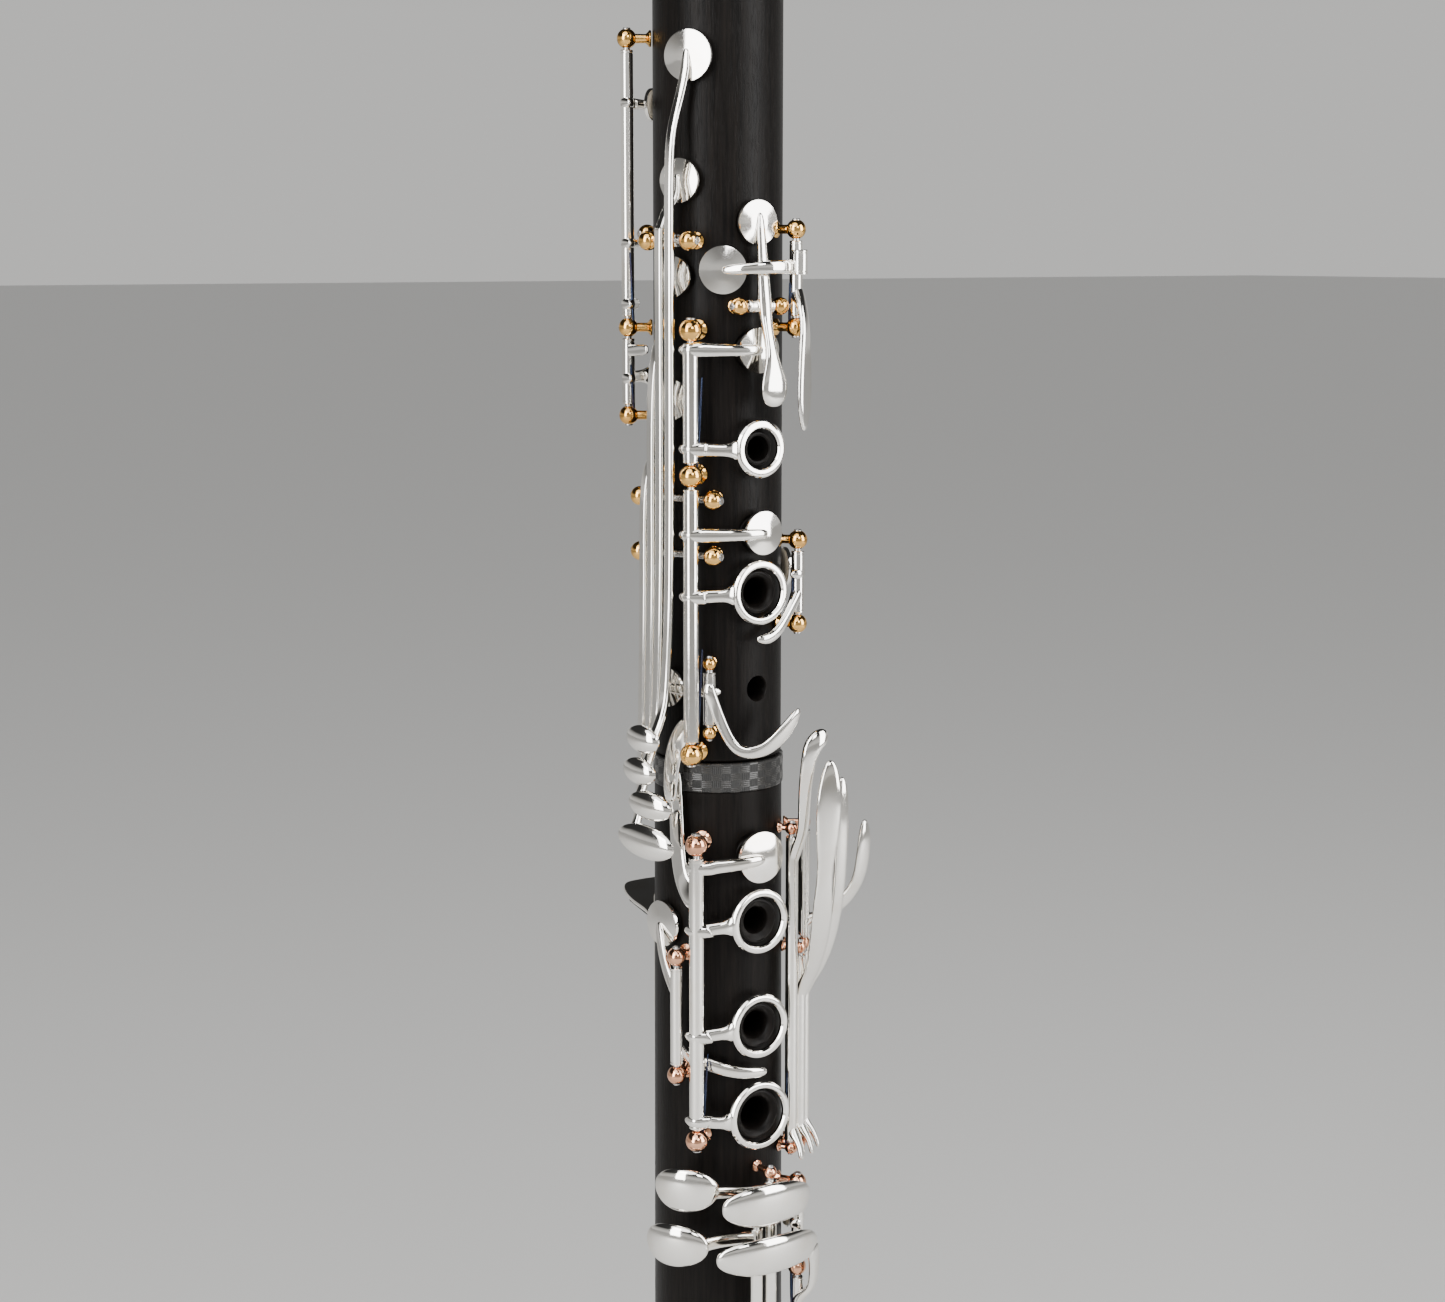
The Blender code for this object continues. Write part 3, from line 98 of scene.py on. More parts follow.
sky_links.new(height_ramp.outputs["Color"], sky_nodes["Background"].inputs["Color"])
bpy.context.scene.world = sky
bpy.ops.object.light_add(type="SUN", rotation=(radians(38), 0, radians(-58)))
sun = bpy.context.object
sun.data.energy = 1.9
sun.data.angle = radians(50)
# place, aim, width, height, power
for place, aim, width, height, power in (
    ((-1.05, -0.35, 0.74), (0.0, 0.0, 0.42), 0.45, 1.20, 17.0),
    ((0.62, -0.95, 0.74), (0.0, 0.0, 0.42), 0.62, 1.20, 20.0),
    ((-0.35, -1.45, 1.15), (0.0, 0.0, 0.36), 0.50, 0.50, 7.0),
):
    bpy.ops.object.light_add(type="AREA", location=place)
    lamp = bpy.context.object
    lamp.rotation_euler = (Vector(aim) - Vector(place)).to_track_quat("-Z", "Y").to_euler()
    lamp.data.shape = "RECTANGLE"
    lamp.data.size = width
    lamp.data.size_y = height
    lamp.data.energy = power


# The body. Bell, two joints and barrel are turned from blackwood, bored through and oiled: nearly
# black, with fine straight grain along the bore and open pores that show only in the highlights.
# Pieces are made in millimetres and settled into metres once they are finished.
JOINT_LINE = joint_line_z * 1000
TURNED_CREASE = 30.0  # degrees past which an edge stays sharp
BORE = 7.4
UPPER_RADIUS = 14.0
LOWER_RADIUS = 14.2
FOOT_RADIUS = 15.0
LOWER_LENGTH = JOINT_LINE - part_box("bell")[1].z * 1000


def wood_radius(height):
    """Outer radius of the wood at a height from the joint line."""
    if height >= 0:
        return UPPER_RADIUS
    return LOWER_RADIUS + (FOOT_RADIUS - LOWER_RADIUS) * min(1.0, -height / LOWER_LENGTH)


def at(angle, height, lift=0.0):
    """The point so many degrees round from the front, up from the joint line and off the wood."""
    radius = wood_radius(height) + lift
    turn = radians(angle)
    return Vector((radius * sin(turn), -radius * cos(turn), JOINT_LINE + height))


def outward(angle):
    turn = radians(angle)
    return Vector((sin(turn), -cos(turn), 0.0))


def seat(angle, height, lift=0.0):
    """A frame that stands on the wood: X round the body, Y up it, Z outward."""
    around = Vector((cos(radians(angle)), sin(radians(angle)), 0.0))
    axes = Matrix((around, Vector((0, 0, 1)), outward(angle))).transposed()
    return Matrix.Translation(at(angle, height, lift)) @ axes.to_4x4()


def between(start, end):
    """A frame at start whose Z points at end."""
    return Matrix.Translation(start) @ (end - start).to_track_quat("Z", "Y").to_matrix().to_4x4()


def turned(profile, steps=96, soften=0.0, place=Matrix()):
    """A piece turned on the lathe: one point extruded along the profile, then spun round Z."""
    bpy.ops.object.select_all(action="DESELECT")
    bpy.ops.mesh.primitive_plane_add(size=1.0)
    bpy.ops.object.mode_set(mode="EDIT")
    bpy.ops.mesh.merge(type="CENTER")
    bpy.ops.transform.translate(value=(profile[0][0], 0.0, profile[0][1]))
    for near, far in zip(profile, profile[1:]):
        step = (far[0] - near[0], 0.0, far[1] - near[1])
        bpy.ops.mesh.extrude_vertices_move(TRANSFORM_OT_translate={"value": step})
    bpy.ops.mesh.select_all(action="SELECT")
    if soften:
        bpy.ops.mesh.bevel(offset=soften, segments=2, affect="VERTICES")
        bpy.ops.mesh.select_all(action="SELECT")
    bpy.ops.mesh.spin(steps=steps, angle=2 * pi, center=(0, 0, 0), axis=(0, 0, 1))
    bpy.ops.mesh.select_all(action="SELECT")
    bpy.ops.mesh.remove_doubles(threshold=0.001)
    bpy.ops.mesh.normals_make_consistent(inside=False)
    bpy.ops.object.mode_set(mode="OBJECT")
    piece = bpy.context.object
    piece.matrix_world = place
    bpy.ops.object.transform_apply(location=True, rotation=True, scale=True)
    return piece


def joined(pieces):
    """Several shapes soldered or fitted together as one piece."""
    bpy.ops.object.select_all(action="DESELECT")
    for piece in pieces:
        piece.select_set(True)
    bpy.context.view_layer.objects.active = pieces[0]
    if len(pieces) > 1:
        bpy.ops.object.join()
    return bpy.context.object


def cut(piece, cutters):
    """The piece with the cutters taken out of it."""
    cutter = joined(cutters)
    bore = piece.modifiers.new("bore", "BOOLEAN")
    bore.operation = "DIFFERENCE"
    bore.solver = "EXACT"
    bore.object = cutter
    bpy.ops.object.select_all(action="DESELECT")
    piece.select_set(True)
    bpy.context.view_layer.objects.active = piece
    bpy.ops.object.modifier_apply(modifier=bore.name)
    bpy.data.objects.remove(cutter, do_unlink=True)
    return piece


def settle(piece, name, finish, body, node=None, crease=38.0):
    """A finished piece brought into metres, given its material and fixed to a body of the frame."""
    bpy.ops.object.select_all(action="DESELECT")
    piece.select_set(True)
    bpy.context.view_layer.objects.active = piece
    piece.scale = (0.001, 0.001, 0.001)
    bpy.ops.object.transform_apply(location=True, rotation=True, scale=True)
    bpy.ops.object.shade_smooth_by_angle(angle=radians(crease))
    piece.name = name
    piece.data.name = name
    piece.data.materials.clear()
    piece.data.materials.append(finish)
    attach(piece, body)
    if node:
        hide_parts(node)
    return piece


def new_group(name, inputs, outputs):
    """An empty shader node group with its sockets, each (kind, name, default)."""
    group = bpy.data.node_groups.new(name, "ShaderNodeTree")
    for kind, socket_name, default in inputs:
        socket = group.interface.new_socket(socket_name, in_out="INPUT", socket_type=kind)
        socket.default_value = default
    for kind, socket_name in outputs:
        group.interface.new_socket(socket_name, in_out="OUTPUT", socket_type=kind)
    return group, group.nodes.new("NodeGroupInput"), group.nodes.new("NodeGroupOutput")


def grain_group():
    """Straight grain along the bore with open pores: colour, roughness and normal."""
    group, given, result = new_group("straight_grain", (
        ("NodeSocketColor", "Dark", (0.01, 0.01, 0.01, 1.0)),
        ("NodeSocketColor", "Light", (0.03, 0.03, 0.03, 1.0)),
        ("NodeSocketFloat", "Fineness", 900.0), ("NodeSocketFloat", "Depth", 0.1),
        ("NodeSocketFloat", "Smoothest", 0.3), ("NodeSocketFloat", "Roughest", 0.5),
    ), (("NodeSocketColor", "Colour"), ("NodeSocketFloat", "Roughness"), ("NodeSocketVector", "Normal")))
    nodes, links = group.nodes, group.links
    place = nodes.new("ShaderNodeTexCoord")
    stretch = nodes.new("ShaderNodeMapping")
    stretch.inputs["Scale"].default_value = (1.0, 1.0, 0.045)
    links.new(place.outputs["Object"], stretch.inputs["Vector"])
    streaks = nodes.new("ShaderNodeTexNoise")
    streaks.inputs["Detail"].default_value = 6.0
    streaks.inputs["Roughness"].default_value = 0.62
    links.new(stretch.outputs["Vector"], streaks.inputs["Vector"])
    links.new(given.outputs["Fineness"], streaks.inputs["Scale"])
    pores = nodes.new("ShaderNodeTexNoise")
    pores.inputs["Detail"].default_value = 2.0
    links.new(stretch.outputs["Vector"], pores.inputs["Vector"])
    finer = nodes.new("ShaderNodeMath")
    finer.operation = "MULTIPLY"
    finer.inputs[1].default_value = 4.5
    links.new(given.outputs["Fineness"], finer.inputs[0])
    links.new(finer.outputs[0], pores.inputs["Scale"])
    contrast = nodes.new("ShaderNodeMapRange")
    contrast.inputs["From Min"].default_value = 0.36
    contrast.inputs["From Max"].default_value = 0.66
    links.new(streaks.outputs["Fac"], contrast.inputs["Value"])
    colour = nodes.new("ShaderNodeMix")
    colour.data_type = "RGBA"
    links.new(contrast.outputs["Result"], colour.inputs["Factor"])
    links.new(given.outputs["Dark"], colour.inputs[6])
    links.new(given.outputs["Light"], colour.inputs[7])
    links.new(colour.outputs[2], result.inputs["Colour"])
    rough = nodes.new("ShaderNodeMapRange")
    links.new(streaks.outputs["Fac"], rough.inputs["Value"])
    links.new(given.outputs["Smoothest"], rough.inputs["To Min"])
    links.new(given.outputs["Roughest"], rough.inputs["To Max"])
    links.new(rough.outputs["Result"], result.inputs["Roughness"])
    opened = nodes.new("ShaderNodeMapRange")
    opened.inputs["From Min"].default_value = 0.30
    opened.inputs["From Max"].default_value = 0.46
    links.new(pores.outputs["Fac"], opened.inputs["Value"])
    bump = nodes.new("ShaderNodeBump")
    bump.inputs["Distance"].default_value = 0.0001
    links.new(given.outputs["Depth"], bump.inputs["Strength"])
    links.new(opened.outputs["Result"], bump.inputs["Height"])
    links.new(bump.outputs["Normal"], result.inputs["Normal"])
    return group


def new_material(name, metallic=0.0, coat=0.0, coat_roughness=0.1):
    """A material with its shader and the values that are the same all over."""
    material = bpy.data.materials.new(name)
    material.use_nodes = True
    shader = material.node_tree.nodes["Principled BSDF"]
    shader.inputs["Metallic"].default_value = metallic
    shader.inputs["Coat Weight"].default_value = coat
    shader.inputs["Coat Roughness"].default_value = coat_roughness
    return material, shader


def finish_from(material, shader, group, values):
    """Feeds a material's shader from a node group, which gets this material's own values."""
    node = material.node_tree.nodes.new("ShaderNodeGroup")
    node.node_tree = group
    for name, value in values.items():
        node.inputs[name].default_value = value
    links = material.node_tree.links
    links.new(node.outputs["Colour"], shader.inputs["Base Color"])
    links.new(node.outputs["Roughness"], shader.inputs["Roughness"])
    links.new(node.outputs["Normal"], shader.inputs["Normal"])
    return material


straight_grain = grain_group()
blackwood, blackwood_shader = new_material("oiled_blackwood")
blackwood_shader.inputs["Specular IOR Level"].default_value = 0.1
finish_from(blackwood, blackwood_shader, straight_grain, {
    "Dark": (0.0030, 0.0026, 0.0024, 1.0), "Light": (0.0078, 0.0062, 0.0053, 1.0), "Fineness": 1300.0,
    "Depth": 0.25, "Smoothest": 0.33, "Roughest": 0.43})


def pad_seat_cutters(angle, height, hole, pad):
    """A tone hole and the groove round its raised bead, where the pad closes."""
    drill = turned([(0, -12), (hole, -12), (hole, -0.35), (hole + 0.45, 0.15), (hole + 0.45, 4), (0, 4)], 32,
                   place=seat(angle, height))
    bead, groove = hole + 0.95, pad - 0.4
    ring = turned([(bead, -0.05), (bead + 0.35, -0.75), (groove - 0.2, -0.75), (groove, 4), (bead, 4),
                   (bead, -0.05)], 48, place=seat(angle, height))
    return [drill, ring]


def finger_hole(angle, height, outer, hole):
    """The raised wooden chimney of a ringed hole, dished towards its bore."""
    return turned([(hole, -4.5), (hole, 0.5), (hole + 0.25, 1.1), (outer - 0.95, 1.72), (outer - 0.55, 1.9),
                   (outer - 0.2, 1.82), (outer, 1.5), (outer, -1.5), (outer + 0.5, -3.5), (hole, -4.5)], 48,
                  place=seat(angle, height))


BAND = 6.5
TENON = 17.0
TENON_RADIUS = 11.0
SOCKET = 12.05


def tenon_profile(shoulder, away):
    """A tenon from its shoulder to its end, grooved for its cork."""
    end = shoulder + away * TENON
    return [(TENON_RADIUS, shoulder), (TENON_RADIUS, shoulder + away * 3), (10.55, shoulder + away * 3.2),
            (10.55, end - away * 3.2), (TENON_RADIUS, end - away * 3), (TENON_RADIUS - 0.2, end)]


# ringed finger holes of the lower joint: angle, height, chimney radius, hole radius
lower_ringed = ((-0.5, -35.4, 5.0, 2.9), (-0.5, -59.3, 5.0, 3.0), (-0.5, -79.9, 5.6, 3.6))
# padded holes: angle, height, hole radius, pad radius
lower_padded = ((0.7, -20.9, 3.0, 5.75), (-84.0, -37.0, 2.6, 5.15), (68.0, -107.0, 3.4, 6.0),
                (62.0, 80.0 - LOWER_LENGTH, 3.4, 6.0), (-40.0, 58.0 - LOWER_LENGTH, 5.0, 8.2),
                (-40.0, 30.0 - LOWER_LENGTH, 5.0, 8.6))
foot = JOINT_LINE - LOWER_LENGTH + 0.3
band_seat = LOWER_RADIUS + 0.3 - 1.4
lower_profile = [(BORE, foot - TENON)] + tenon_profile(foot, -1)[::-1]
lower_profile += [(FOOT_RADIUS - 0.3, foot), (FOOT_RADIUS, foot + 0.4),
                  (LOWER_RADIUS, JOINT_LINE - BAND - 0.2), (LOWER_RADIUS - 0.2, JOINT_LINE - BAND),
                  (band_seat, JOINT_LINE - BAND), (band_seat, JOINT_LINE - 0.05), (SOCKET, JOINT_LINE - 0.05),
                  (SOCKET, JOINT_LINE - TENON - 0.3), (BORE, JOINT_LINE - TENON - 0.3), (BORE, foot - TENON)]
lower_wood = turned(lower_profile, 128)
lower_cutters = [turned([(0, -12), (hole + 0.6, -12), (hole + 0.6, 4), (0, 4)], 32, place=seat(angle, height))
                 for angle, height, outer, hole in lower_ringed]
for hole in lower_padded:
    lower_cutters += pad_seat_cutters(*hole)
cut(lower_wood, lower_cutters)
lower_wood = joined([lower_wood] + [finger_hole(*hole) for hole in lower_ringed])
settle(lower_wood, "lower_joint_wood", blackwood, "body", "lower_joint", TURNED_CREASE)

upper_ringed = ((0.0, 68.6, 3.7, 2.6), (0.0, 37.6, 4.7, 3.0))
upper_padded = ((-1.6, 89.5, 2.4, 4.85), (2.7, 50.5, 2.4, 4.75), (0.0, 116.3, 2.4, 4.75),
                (-29.0, 106.4, 2.4, 5.1), (-56.5, 150.6, 2.4, 5.35), (-64.4, 125.0, 2.4, 4.7),
                (-70.0, 105.0, 2.4, 4.3), (-71.0, 79.0, 2.4, 4.3), (-77.0, 16.5, 2.4, 4.3),
                (75.0, 41.0, 2.4, 4.4), (180.0, 141.0, 1.6, 4.0), (-147.0, 141.6, 1.5, 3.6))
UPPER_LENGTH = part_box("barrel")[0].z * 1000 - 0.3 - JOINT_LINE
upper_top = JOINT_LINE + UPPER_LENGTH
upper_foot = JOINT_LINE + 0.3
upper_profile = [(BORE, upper_foot - TENON)] + tenon_profile(upper_foot, -1)[::-1]
upper_profile += [(UPPER_RADIUS - 0.25, upper_foot), (UPPER_RADIUS, upper_foot + 0.3),
                  (UPPER_RADIUS, upper_top - 0.4), (UPPER_RADIUS - 0.3, upper_top)]
upper_profile += tenon_profile(upper_top, 1) + [(BORE, upper_top + TENON), (BORE, upper_foot - TENON)]
upper_wood = turned(upper_profile, 128)
upper_cutters = [turned([(0, -12), (hole + 0.6, -12), (hole + 0.6, 4), (0, 4)], 32, place=seat(angle, height))
                 for angle, height, outer, hole in upper_ringed]
for hole in upper_padded:
    upper_cutters += pad_seat_cutters(*hole)
third_hole = [(0, -12), (2.6, -12), (2.6, -0.5), (2.85, -0.05), (3.2, 0.6), (3.2, 4), (0, 4)]
upper_cutters.append(turned(third_hole, 48, place=seat(5.0, 16.1)))
upper_cutters.append(turned([(0, -12), (3.3, -12), (3.3, 4), (0, 4)], 48, place=seat(180.0, 83.0)))
cut(upper_wood, upper_cutters)
upper_wood = joined([upper_wood] + [finger_hole(*hole) for hole in upper_ringed])
settle(upper_wood, "upper_joint_wood", blackwood, "body", "upper_joint", TURNED_CREASE)

bell_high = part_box("bell")[1] * 1000
BELL_NECK, BELL_NECK_LENGTH = 16.8, 34.0
BELL_RIM, BELL_RIM_HEIGHT = bell_high.x, 4.0
BELL_WALL, BELL_NECK_WALL = 3.0, 6.2
BELL_CURVE = 2.3
FLARE_STEPS = 24
flare_top = bell_high.z - BELL_NECK_LENGTH
flare = []
for i in range(FLARE_STEPS + 1):
    share = i / FLARE_STEPS
    radius = BELL_NECK + (BELL_RIM - BELL_NECK) * (1 - share) ** BELL_CURVE
    wall = BELL_WALL + (BELL_NECK_WALL - BELL_WALL) * share
    flare.append((radius, BELL_RIM_HEIGHT + (flare_top - BELL_RIM_HEIGHT) * share, max(radius - wall, BORE)))
bell_profile = [(BELL_RIM - 1.0, 0.0), (BELL_RIM - 0.35, 0.35), (BELL_RIM, 1.2), (BELL_RIM - 0.2, 3.1)]
bell_profile += [(radius, height) for radius, height, inner in flare]
bell_profile += [(BELL_NECK, bell_high.z - BAND - 0.2), (BELL_NECK - 0.2, bell_high.z - BAND),
                 (BELL_NECK - 1.2, bell_high.z - BAND), (BELL_NECK - 1.2, bell_high.z - 0.05),
                 (SOCKET, bell_high.z - 0.05), (SOCKET, bell_high.z - TENON - 0.3),
                 (8.0, bell_high.z - TENON - 0.3)]
bell_profile += [(inner, height) for radius, height, inner in flare[::-1]]
bell_profile += [(BELL_RIM - 4.6, 0.5), (BELL_RIM - 4.2, 0.0), (BELL_RIM - 1.0, 0.0)]
settle(turned(bell_profile, 160), "bell_wood", blackwood, "body", "bell", TURNED_CREASE)

barrel_low, barrel_high = (corner.z * 1000 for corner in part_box("barrel"))
BARREL_RADIUS, BARREL_WAIST = 16.2, 14.9
BARREL_CURVE = 2.2
BARREL_STEPS = 16
barrel_outline = []
for i in range(BARREL_STEPS + 1):
    share = i / BARREL_STEPS
    radius = BARREL_WAIST + (BARREL_RADIUS - BARREL_WAIST) * abs(2 * share - 1) ** BARREL_CURVE
    barrel_outline.append((radius,
                           barrel_low + BAND + 0.1 + (barrel_high - barrel_low - 2 * BAND - 0.2) * share))
barrel_seat = BARREL_RADIUS - 1.4
barrel_profile = [(SOCKET, barrel_low + 0.05), (barrel_seat, barrel_low + 0.05),
                  (barrel_seat, barrel_low + BAND)]
barrel_profile += barrel_outline
barrel_profile += [(barrel_seat, barrel_high - BAND), (barrel_seat, barrel_high - 0.05),
                   (SOCKET, barrel_high - 0.05), (SOCKET, barrel_high - TENON - 0.3),
                   (BORE, barrel_high - TENON - 0.3), (BORE, barrel_low + TENON + 0.3),
                   (SOCKET, barrel_low + TENON + 0.3), (SOCKET, barrel_low + 0.05)]
settle(turned(barrel_profile, 128), "barrel_wood", blackwood, "tuning_barrel", "barrel",
       TURNED_CREASE)


# Socket bands. A sleeve of woven carbon fibre is bonded round each socket's mouth in place of a metal
# ring: square checks where the tows cross, each ribbed by its threads, under a satin lacquer.
def woven_fibre_material(name, radius):
    """Checks 2.2 mm wide and 1.6 mm high round a band of this radius, in millimetres."""
    material, shader = new_material(name, coat=0.2, coat_roughness=0.25)
    nodes, links = material.node_tree.nodes, material.node_tree.links

    def maths(operation, first, second=0.0):
        node = nodes.new("ShaderNodeMath")
        node.operation = operation
        for socket, value in zip(node.inputs, (first, second)):
            if isinstance(value, (int, float)):
                socket.default_value = value
            else:
                links.new(value, socket)
        return node.outputs[0]

    place = nodes.new("ShaderNodeTexCoord")
    axes = nodes.new("ShaderNodeSeparateXYZ")
    links.new(place.outputs["Object"], axes.inputs[0])
    columns = round(2 * pi * radius / 2.2 / 2) * 2
    around = maths("MULTIPLY", maths("ARCTAN2", axes.outputs["Y"], axes.outputs["X"]), columns / (2 * pi))
    up = maths("MULTIPLY", axes.outputs["Z"], 1000 / 1.6)
    check = maths("MODULO", maths("ABSOLUTE", maths("ADD", maths("FLOOR", around), maths("FLOOR", up))), 2.0)
    threads_up = maths("SINE", maths("MULTIPLY", around, 2 * pi * 5))
    threads_across = maths("SINE", maths("MULTIPLY", up, 2 * pi * 4))
    swap = nodes.new("ShaderNodeMix")
    links.new(check, swap.inputs["Factor"])
    links.new(threads_up, swap.inputs[2])
    links.new(threads_across, swap.inputs[3])
    shade = nodes.new("ShaderNodeMix")
    shade.data_type = "RGBA"
    links.new(check, shade.inputs["Factor"])
    shade.inputs[6].default_value = (0.006, 0.0058, 0.0054, 1.0)
    shade.inputs[7].default_value = (0.021, 0.020, 0.0185, 1.0)
    links.new(shade.outputs[2], shader.inputs["Base Color"])
    rough = nodes.new("ShaderNodeMapRange")
    rough.inputs["To Min"].default_value = 0.42
    rough.inputs["To Max"].default_value = 0.24
    links.new(check, rough.inputs["Value"])
    links.new(rough.outputs["Result"], shader.inputs["Roughness"])
    bump = nodes.new("ShaderNodeBump")
    bump.inputs["Strength"].default_value = 0.5
    bump.inputs["Distance"].default_value = 0.00006
    links.new(swap.outputs[0], bump.inputs["Height"])
    links.new(bump.outputs["Normal"], shader.inputs["Normal"])
    return material


for name, low, radius, body in (
    ("bell_band", bell_high.z - BAND, BELL_NECK + 0.2, "body"),
    ("lower_joint_band", JOINT_LINE - BAND, LOWER_RADIUS + 0.3, "body"),
    ("barrel_foot_band", barrel_low, BARREL_RADIUS, "tuning_barrel"),
    ("barrel_top_band", barrel_high - BAND, BARREL_RADIUS, "tuning_barrel"),
):
    inner = radius - 1.1
    ring = turned([(inner, low), (radius - 0.2, low), (radius, low + 0.2), (radius, low + BAND - 0.2),
                   (radius - 0.2, low + BAND), (inner, low + BAND), (inner, low)], 128)
    settle(ring, name + "_sleeve", woven_fibre_material(name + "_weave", radius), body, name)


# Plate. Keys are forged nickel silver with bright silver plate; their posts are gold plated above the
# joint line and rose gold below. Handling leaves hairlines and a faint tarnish away from the fingers.
def plating_group():
    """Polished plate: colour with a little tarnish, roughness with hairlines, and a soft waviness."""
    group, given, result = new_group("polished_plate", (
        ("NodeSocketColor", "Bright", (0.9, 0.9, 0.9, 1.0)),
        ("NodeSocketColor", "Tarnished", (0.7, 0.7, 0.7, 1.0)),
        ("NodeSocketFloat", "Smoothest", 0.06), ("NodeSocketFloat", "Roughest", 0.16),
        ("NodeSocketFloat", "Waviness", 0.1),
    ), (("NodeSocketColor", "Colour"), ("NodeSocketFloat", "Roughness"), ("NodeSocketVector", "Normal")))
    nodes, links = group.nodes, group.links
    place = nodes.new("ShaderNodeTexCoord")
    noises = []
    for scale, detail in ((140.0, 3.0), (2600.0, 2.0), (420.0, 1.0)):
        noise = nodes.new("ShaderNodeTexNoise")
        noise.inputs["Scale"].default_value = scale
        noise.inputs["Detail"].default_value = detail
        links.new(place.outputs["Object"], noise.inputs["Vector"])
        noises.append(noise)
    patches, hairlines, waves = noises
    tarnish = nodes.new("ShaderNodeMapRange")
    tarnish.inputs["From Min"].default_value = 0.5
    tarnish.inputs["From Max"].default_value = 0.78
    links.new(patches.outputs["Fac"], tarnish.inputs["Value"])
    colour = nodes.new("ShaderNodeMix")
    colour.data_type = "RGBA"
    links.new(tarnish.outputs["Result"], colour.inputs["Factor"])
    links.new(given.outputs["Bright"], colour.inputs[6])
    links.new(given.outputs["Tarnished"], colour.inputs[7])
    links.new(colour.outputs[2], result.inputs["Colour"])
    rough = nodes.new("ShaderNodeMapRange")
    rough.inputs["From Min"].default_value = 0.3
    rough.inputs["From Max"].default_value = 0.75
    links.new(hairlines.outputs["Fac"], rough.inputs["Value"])
    links.new(given.outputs["Smoothest"], rough.inputs["To Min"])
    links.new(given.outputs["Roughest"], rough.inputs["To Max"])
    links.new(rough.outputs["Result"], result.inputs["Roughness"])
    bump = nodes.new("ShaderNodeBump")
    bump.inputs["Distance"].default_value = 0.00002
    links.new(given.outputs["Waviness"], bump.inputs["Strength"])
    links.new(waves.outputs["Fac"], bump.inputs["Height"])
    links.new(bump.outputs["Normal"], result.inputs["Normal"])
    return group


polished_plate = plating_group()
silver_plate, silver_shader = new_material("silver_plate", metallic=1.0)
finish_from(silver_plate, silver_shader, polished_plate, {
    "Bright": (0.965, 0.94, 0.895, 1.0), "Tarnished": (0.88, 0.83, 0.75, 1.0), "Smoothest": 0.05,
    "Roughest": 0.13, "Waviness": 0.08})
gold_plate, gold_shader = new_material("gold_plate", metallic=1.0)
finish_from(gold_plate, gold_shader, polished_plate, {
    "Bright": (0.88, 0.51, 0.15, 1.0), "Tarnished": (0.72, 0.36, 0.09, 1.0), "Smoothest": 0.08,
    "Roughest": 0.17, "Waviness": 0.08})
rose_gold_plate, rose_shader = new_material("rose_gold_plate", metallic=1.0)
finish_from(rose_gold_plate, rose_shader, polished_plate, {
    "Bright": (0.86, 0.46, 0.29, 1.0), "Tarnished": (0.70, 0.32, 0.19, 1.0), "Smoothest": 0.08,
    "Roughest": 0.17, "Waviness": 0.08})
steel, steel_shader = new_material("pivot_steel", metallic=1.0)
finish_from(steel, steel_shader, polished_plate, {
    "Bright": (0.62, 0.62, 0.62, 1.0), "Tarnished": (0.46, 0.45, 0.44, 1.0), "Smoothest": 0.2,
    "Roughest": 0.34, "Waviness": 0.05})
blued_steel, blued_shader = new_material("blued_spring_steel", metallic=1.0)
finish_from(blued_steel, blued_shader, polished_plate, {
    "Bright": (0.030, 0.040, 0.075, 1.0), "Tarnished": (0.05, 0.035, 0.05, 1.0), "Smoothest": 0.22,
    "Roughest": 0.3, "Waviness": 0.05})


# Posts. Each is turned with a beaded foot, a waist and a ball, screwed into the wood, and drilled for
# the steel hinge rod; slotted pivot screws close the ends. The rod and the screws are bare steel.
CLEARANCE = 0.3
HINGE_LIFT = 5.5
BALL, SMALL_BALL, LITTLE_BALL = 2.5, 2.1, 1.5


def copied(piece, place):
    """Another of the same piece, with its own mesh, moved by the frame given."""
    bpy.ops.object.select_all(action="DESELECT")
    piece.select_set(True)
    bpy.context.view_layer.objects.active = piece
    bpy.ops.object.duplicate(linked=False)
    twin = bpy.context.object
    twin.matrix_world = place
    bpy.ops.object.transform_apply(location=True, rotation=True, scale=True)
    return twin


def ball_post(angle, height, ball, lift):
    """A post on the wood whose ball is centred the lift above it."""
    centre = lift - CLEARANCE
    foot_radius, waist = ball * 0.85, ball * 0.46
    bead = [(0, 0), (foot_radius - 0.1, 0), (foot_radius, 0.15), (foot_radius, 0.4),
            (foot_radius - 0.25, 0.6), (waist + 0.35, 0.75), (waist, 1.15)]
    neck = centre - ball * cos(radians(28))
    profile = [point for point in bead if point[1] < neck]
    profile += [(ball * sin(radians(turn)), centre - ball * cos(radians(turn))) for turn in range(28, 180, 8)]
    profile.append((0, centre + ball))
    return turned(profile, 40, place=seat(angle, height, CLEARANCE))


def pivot_screw(size):
    """A flat screw head with a sawn slot, standing on its origin."""
    head = turned([(0, -1.0), (size * 0.7, -1.0), (size, 0), (size, 0.22), (size - 0.14, 0.36),
                   (0, 0.36)], 32)
    bpy.ops.object.select_all(action="DESELECT")
    bpy.ops.mesh.primitive_cube_add(size=1.0, location=(0, 0, 0.36), scale=(size * 0.3, size * 3, 0.4))
    return cut(head, [bpy.context.object])


screw_head = pivot_screw(1.0)


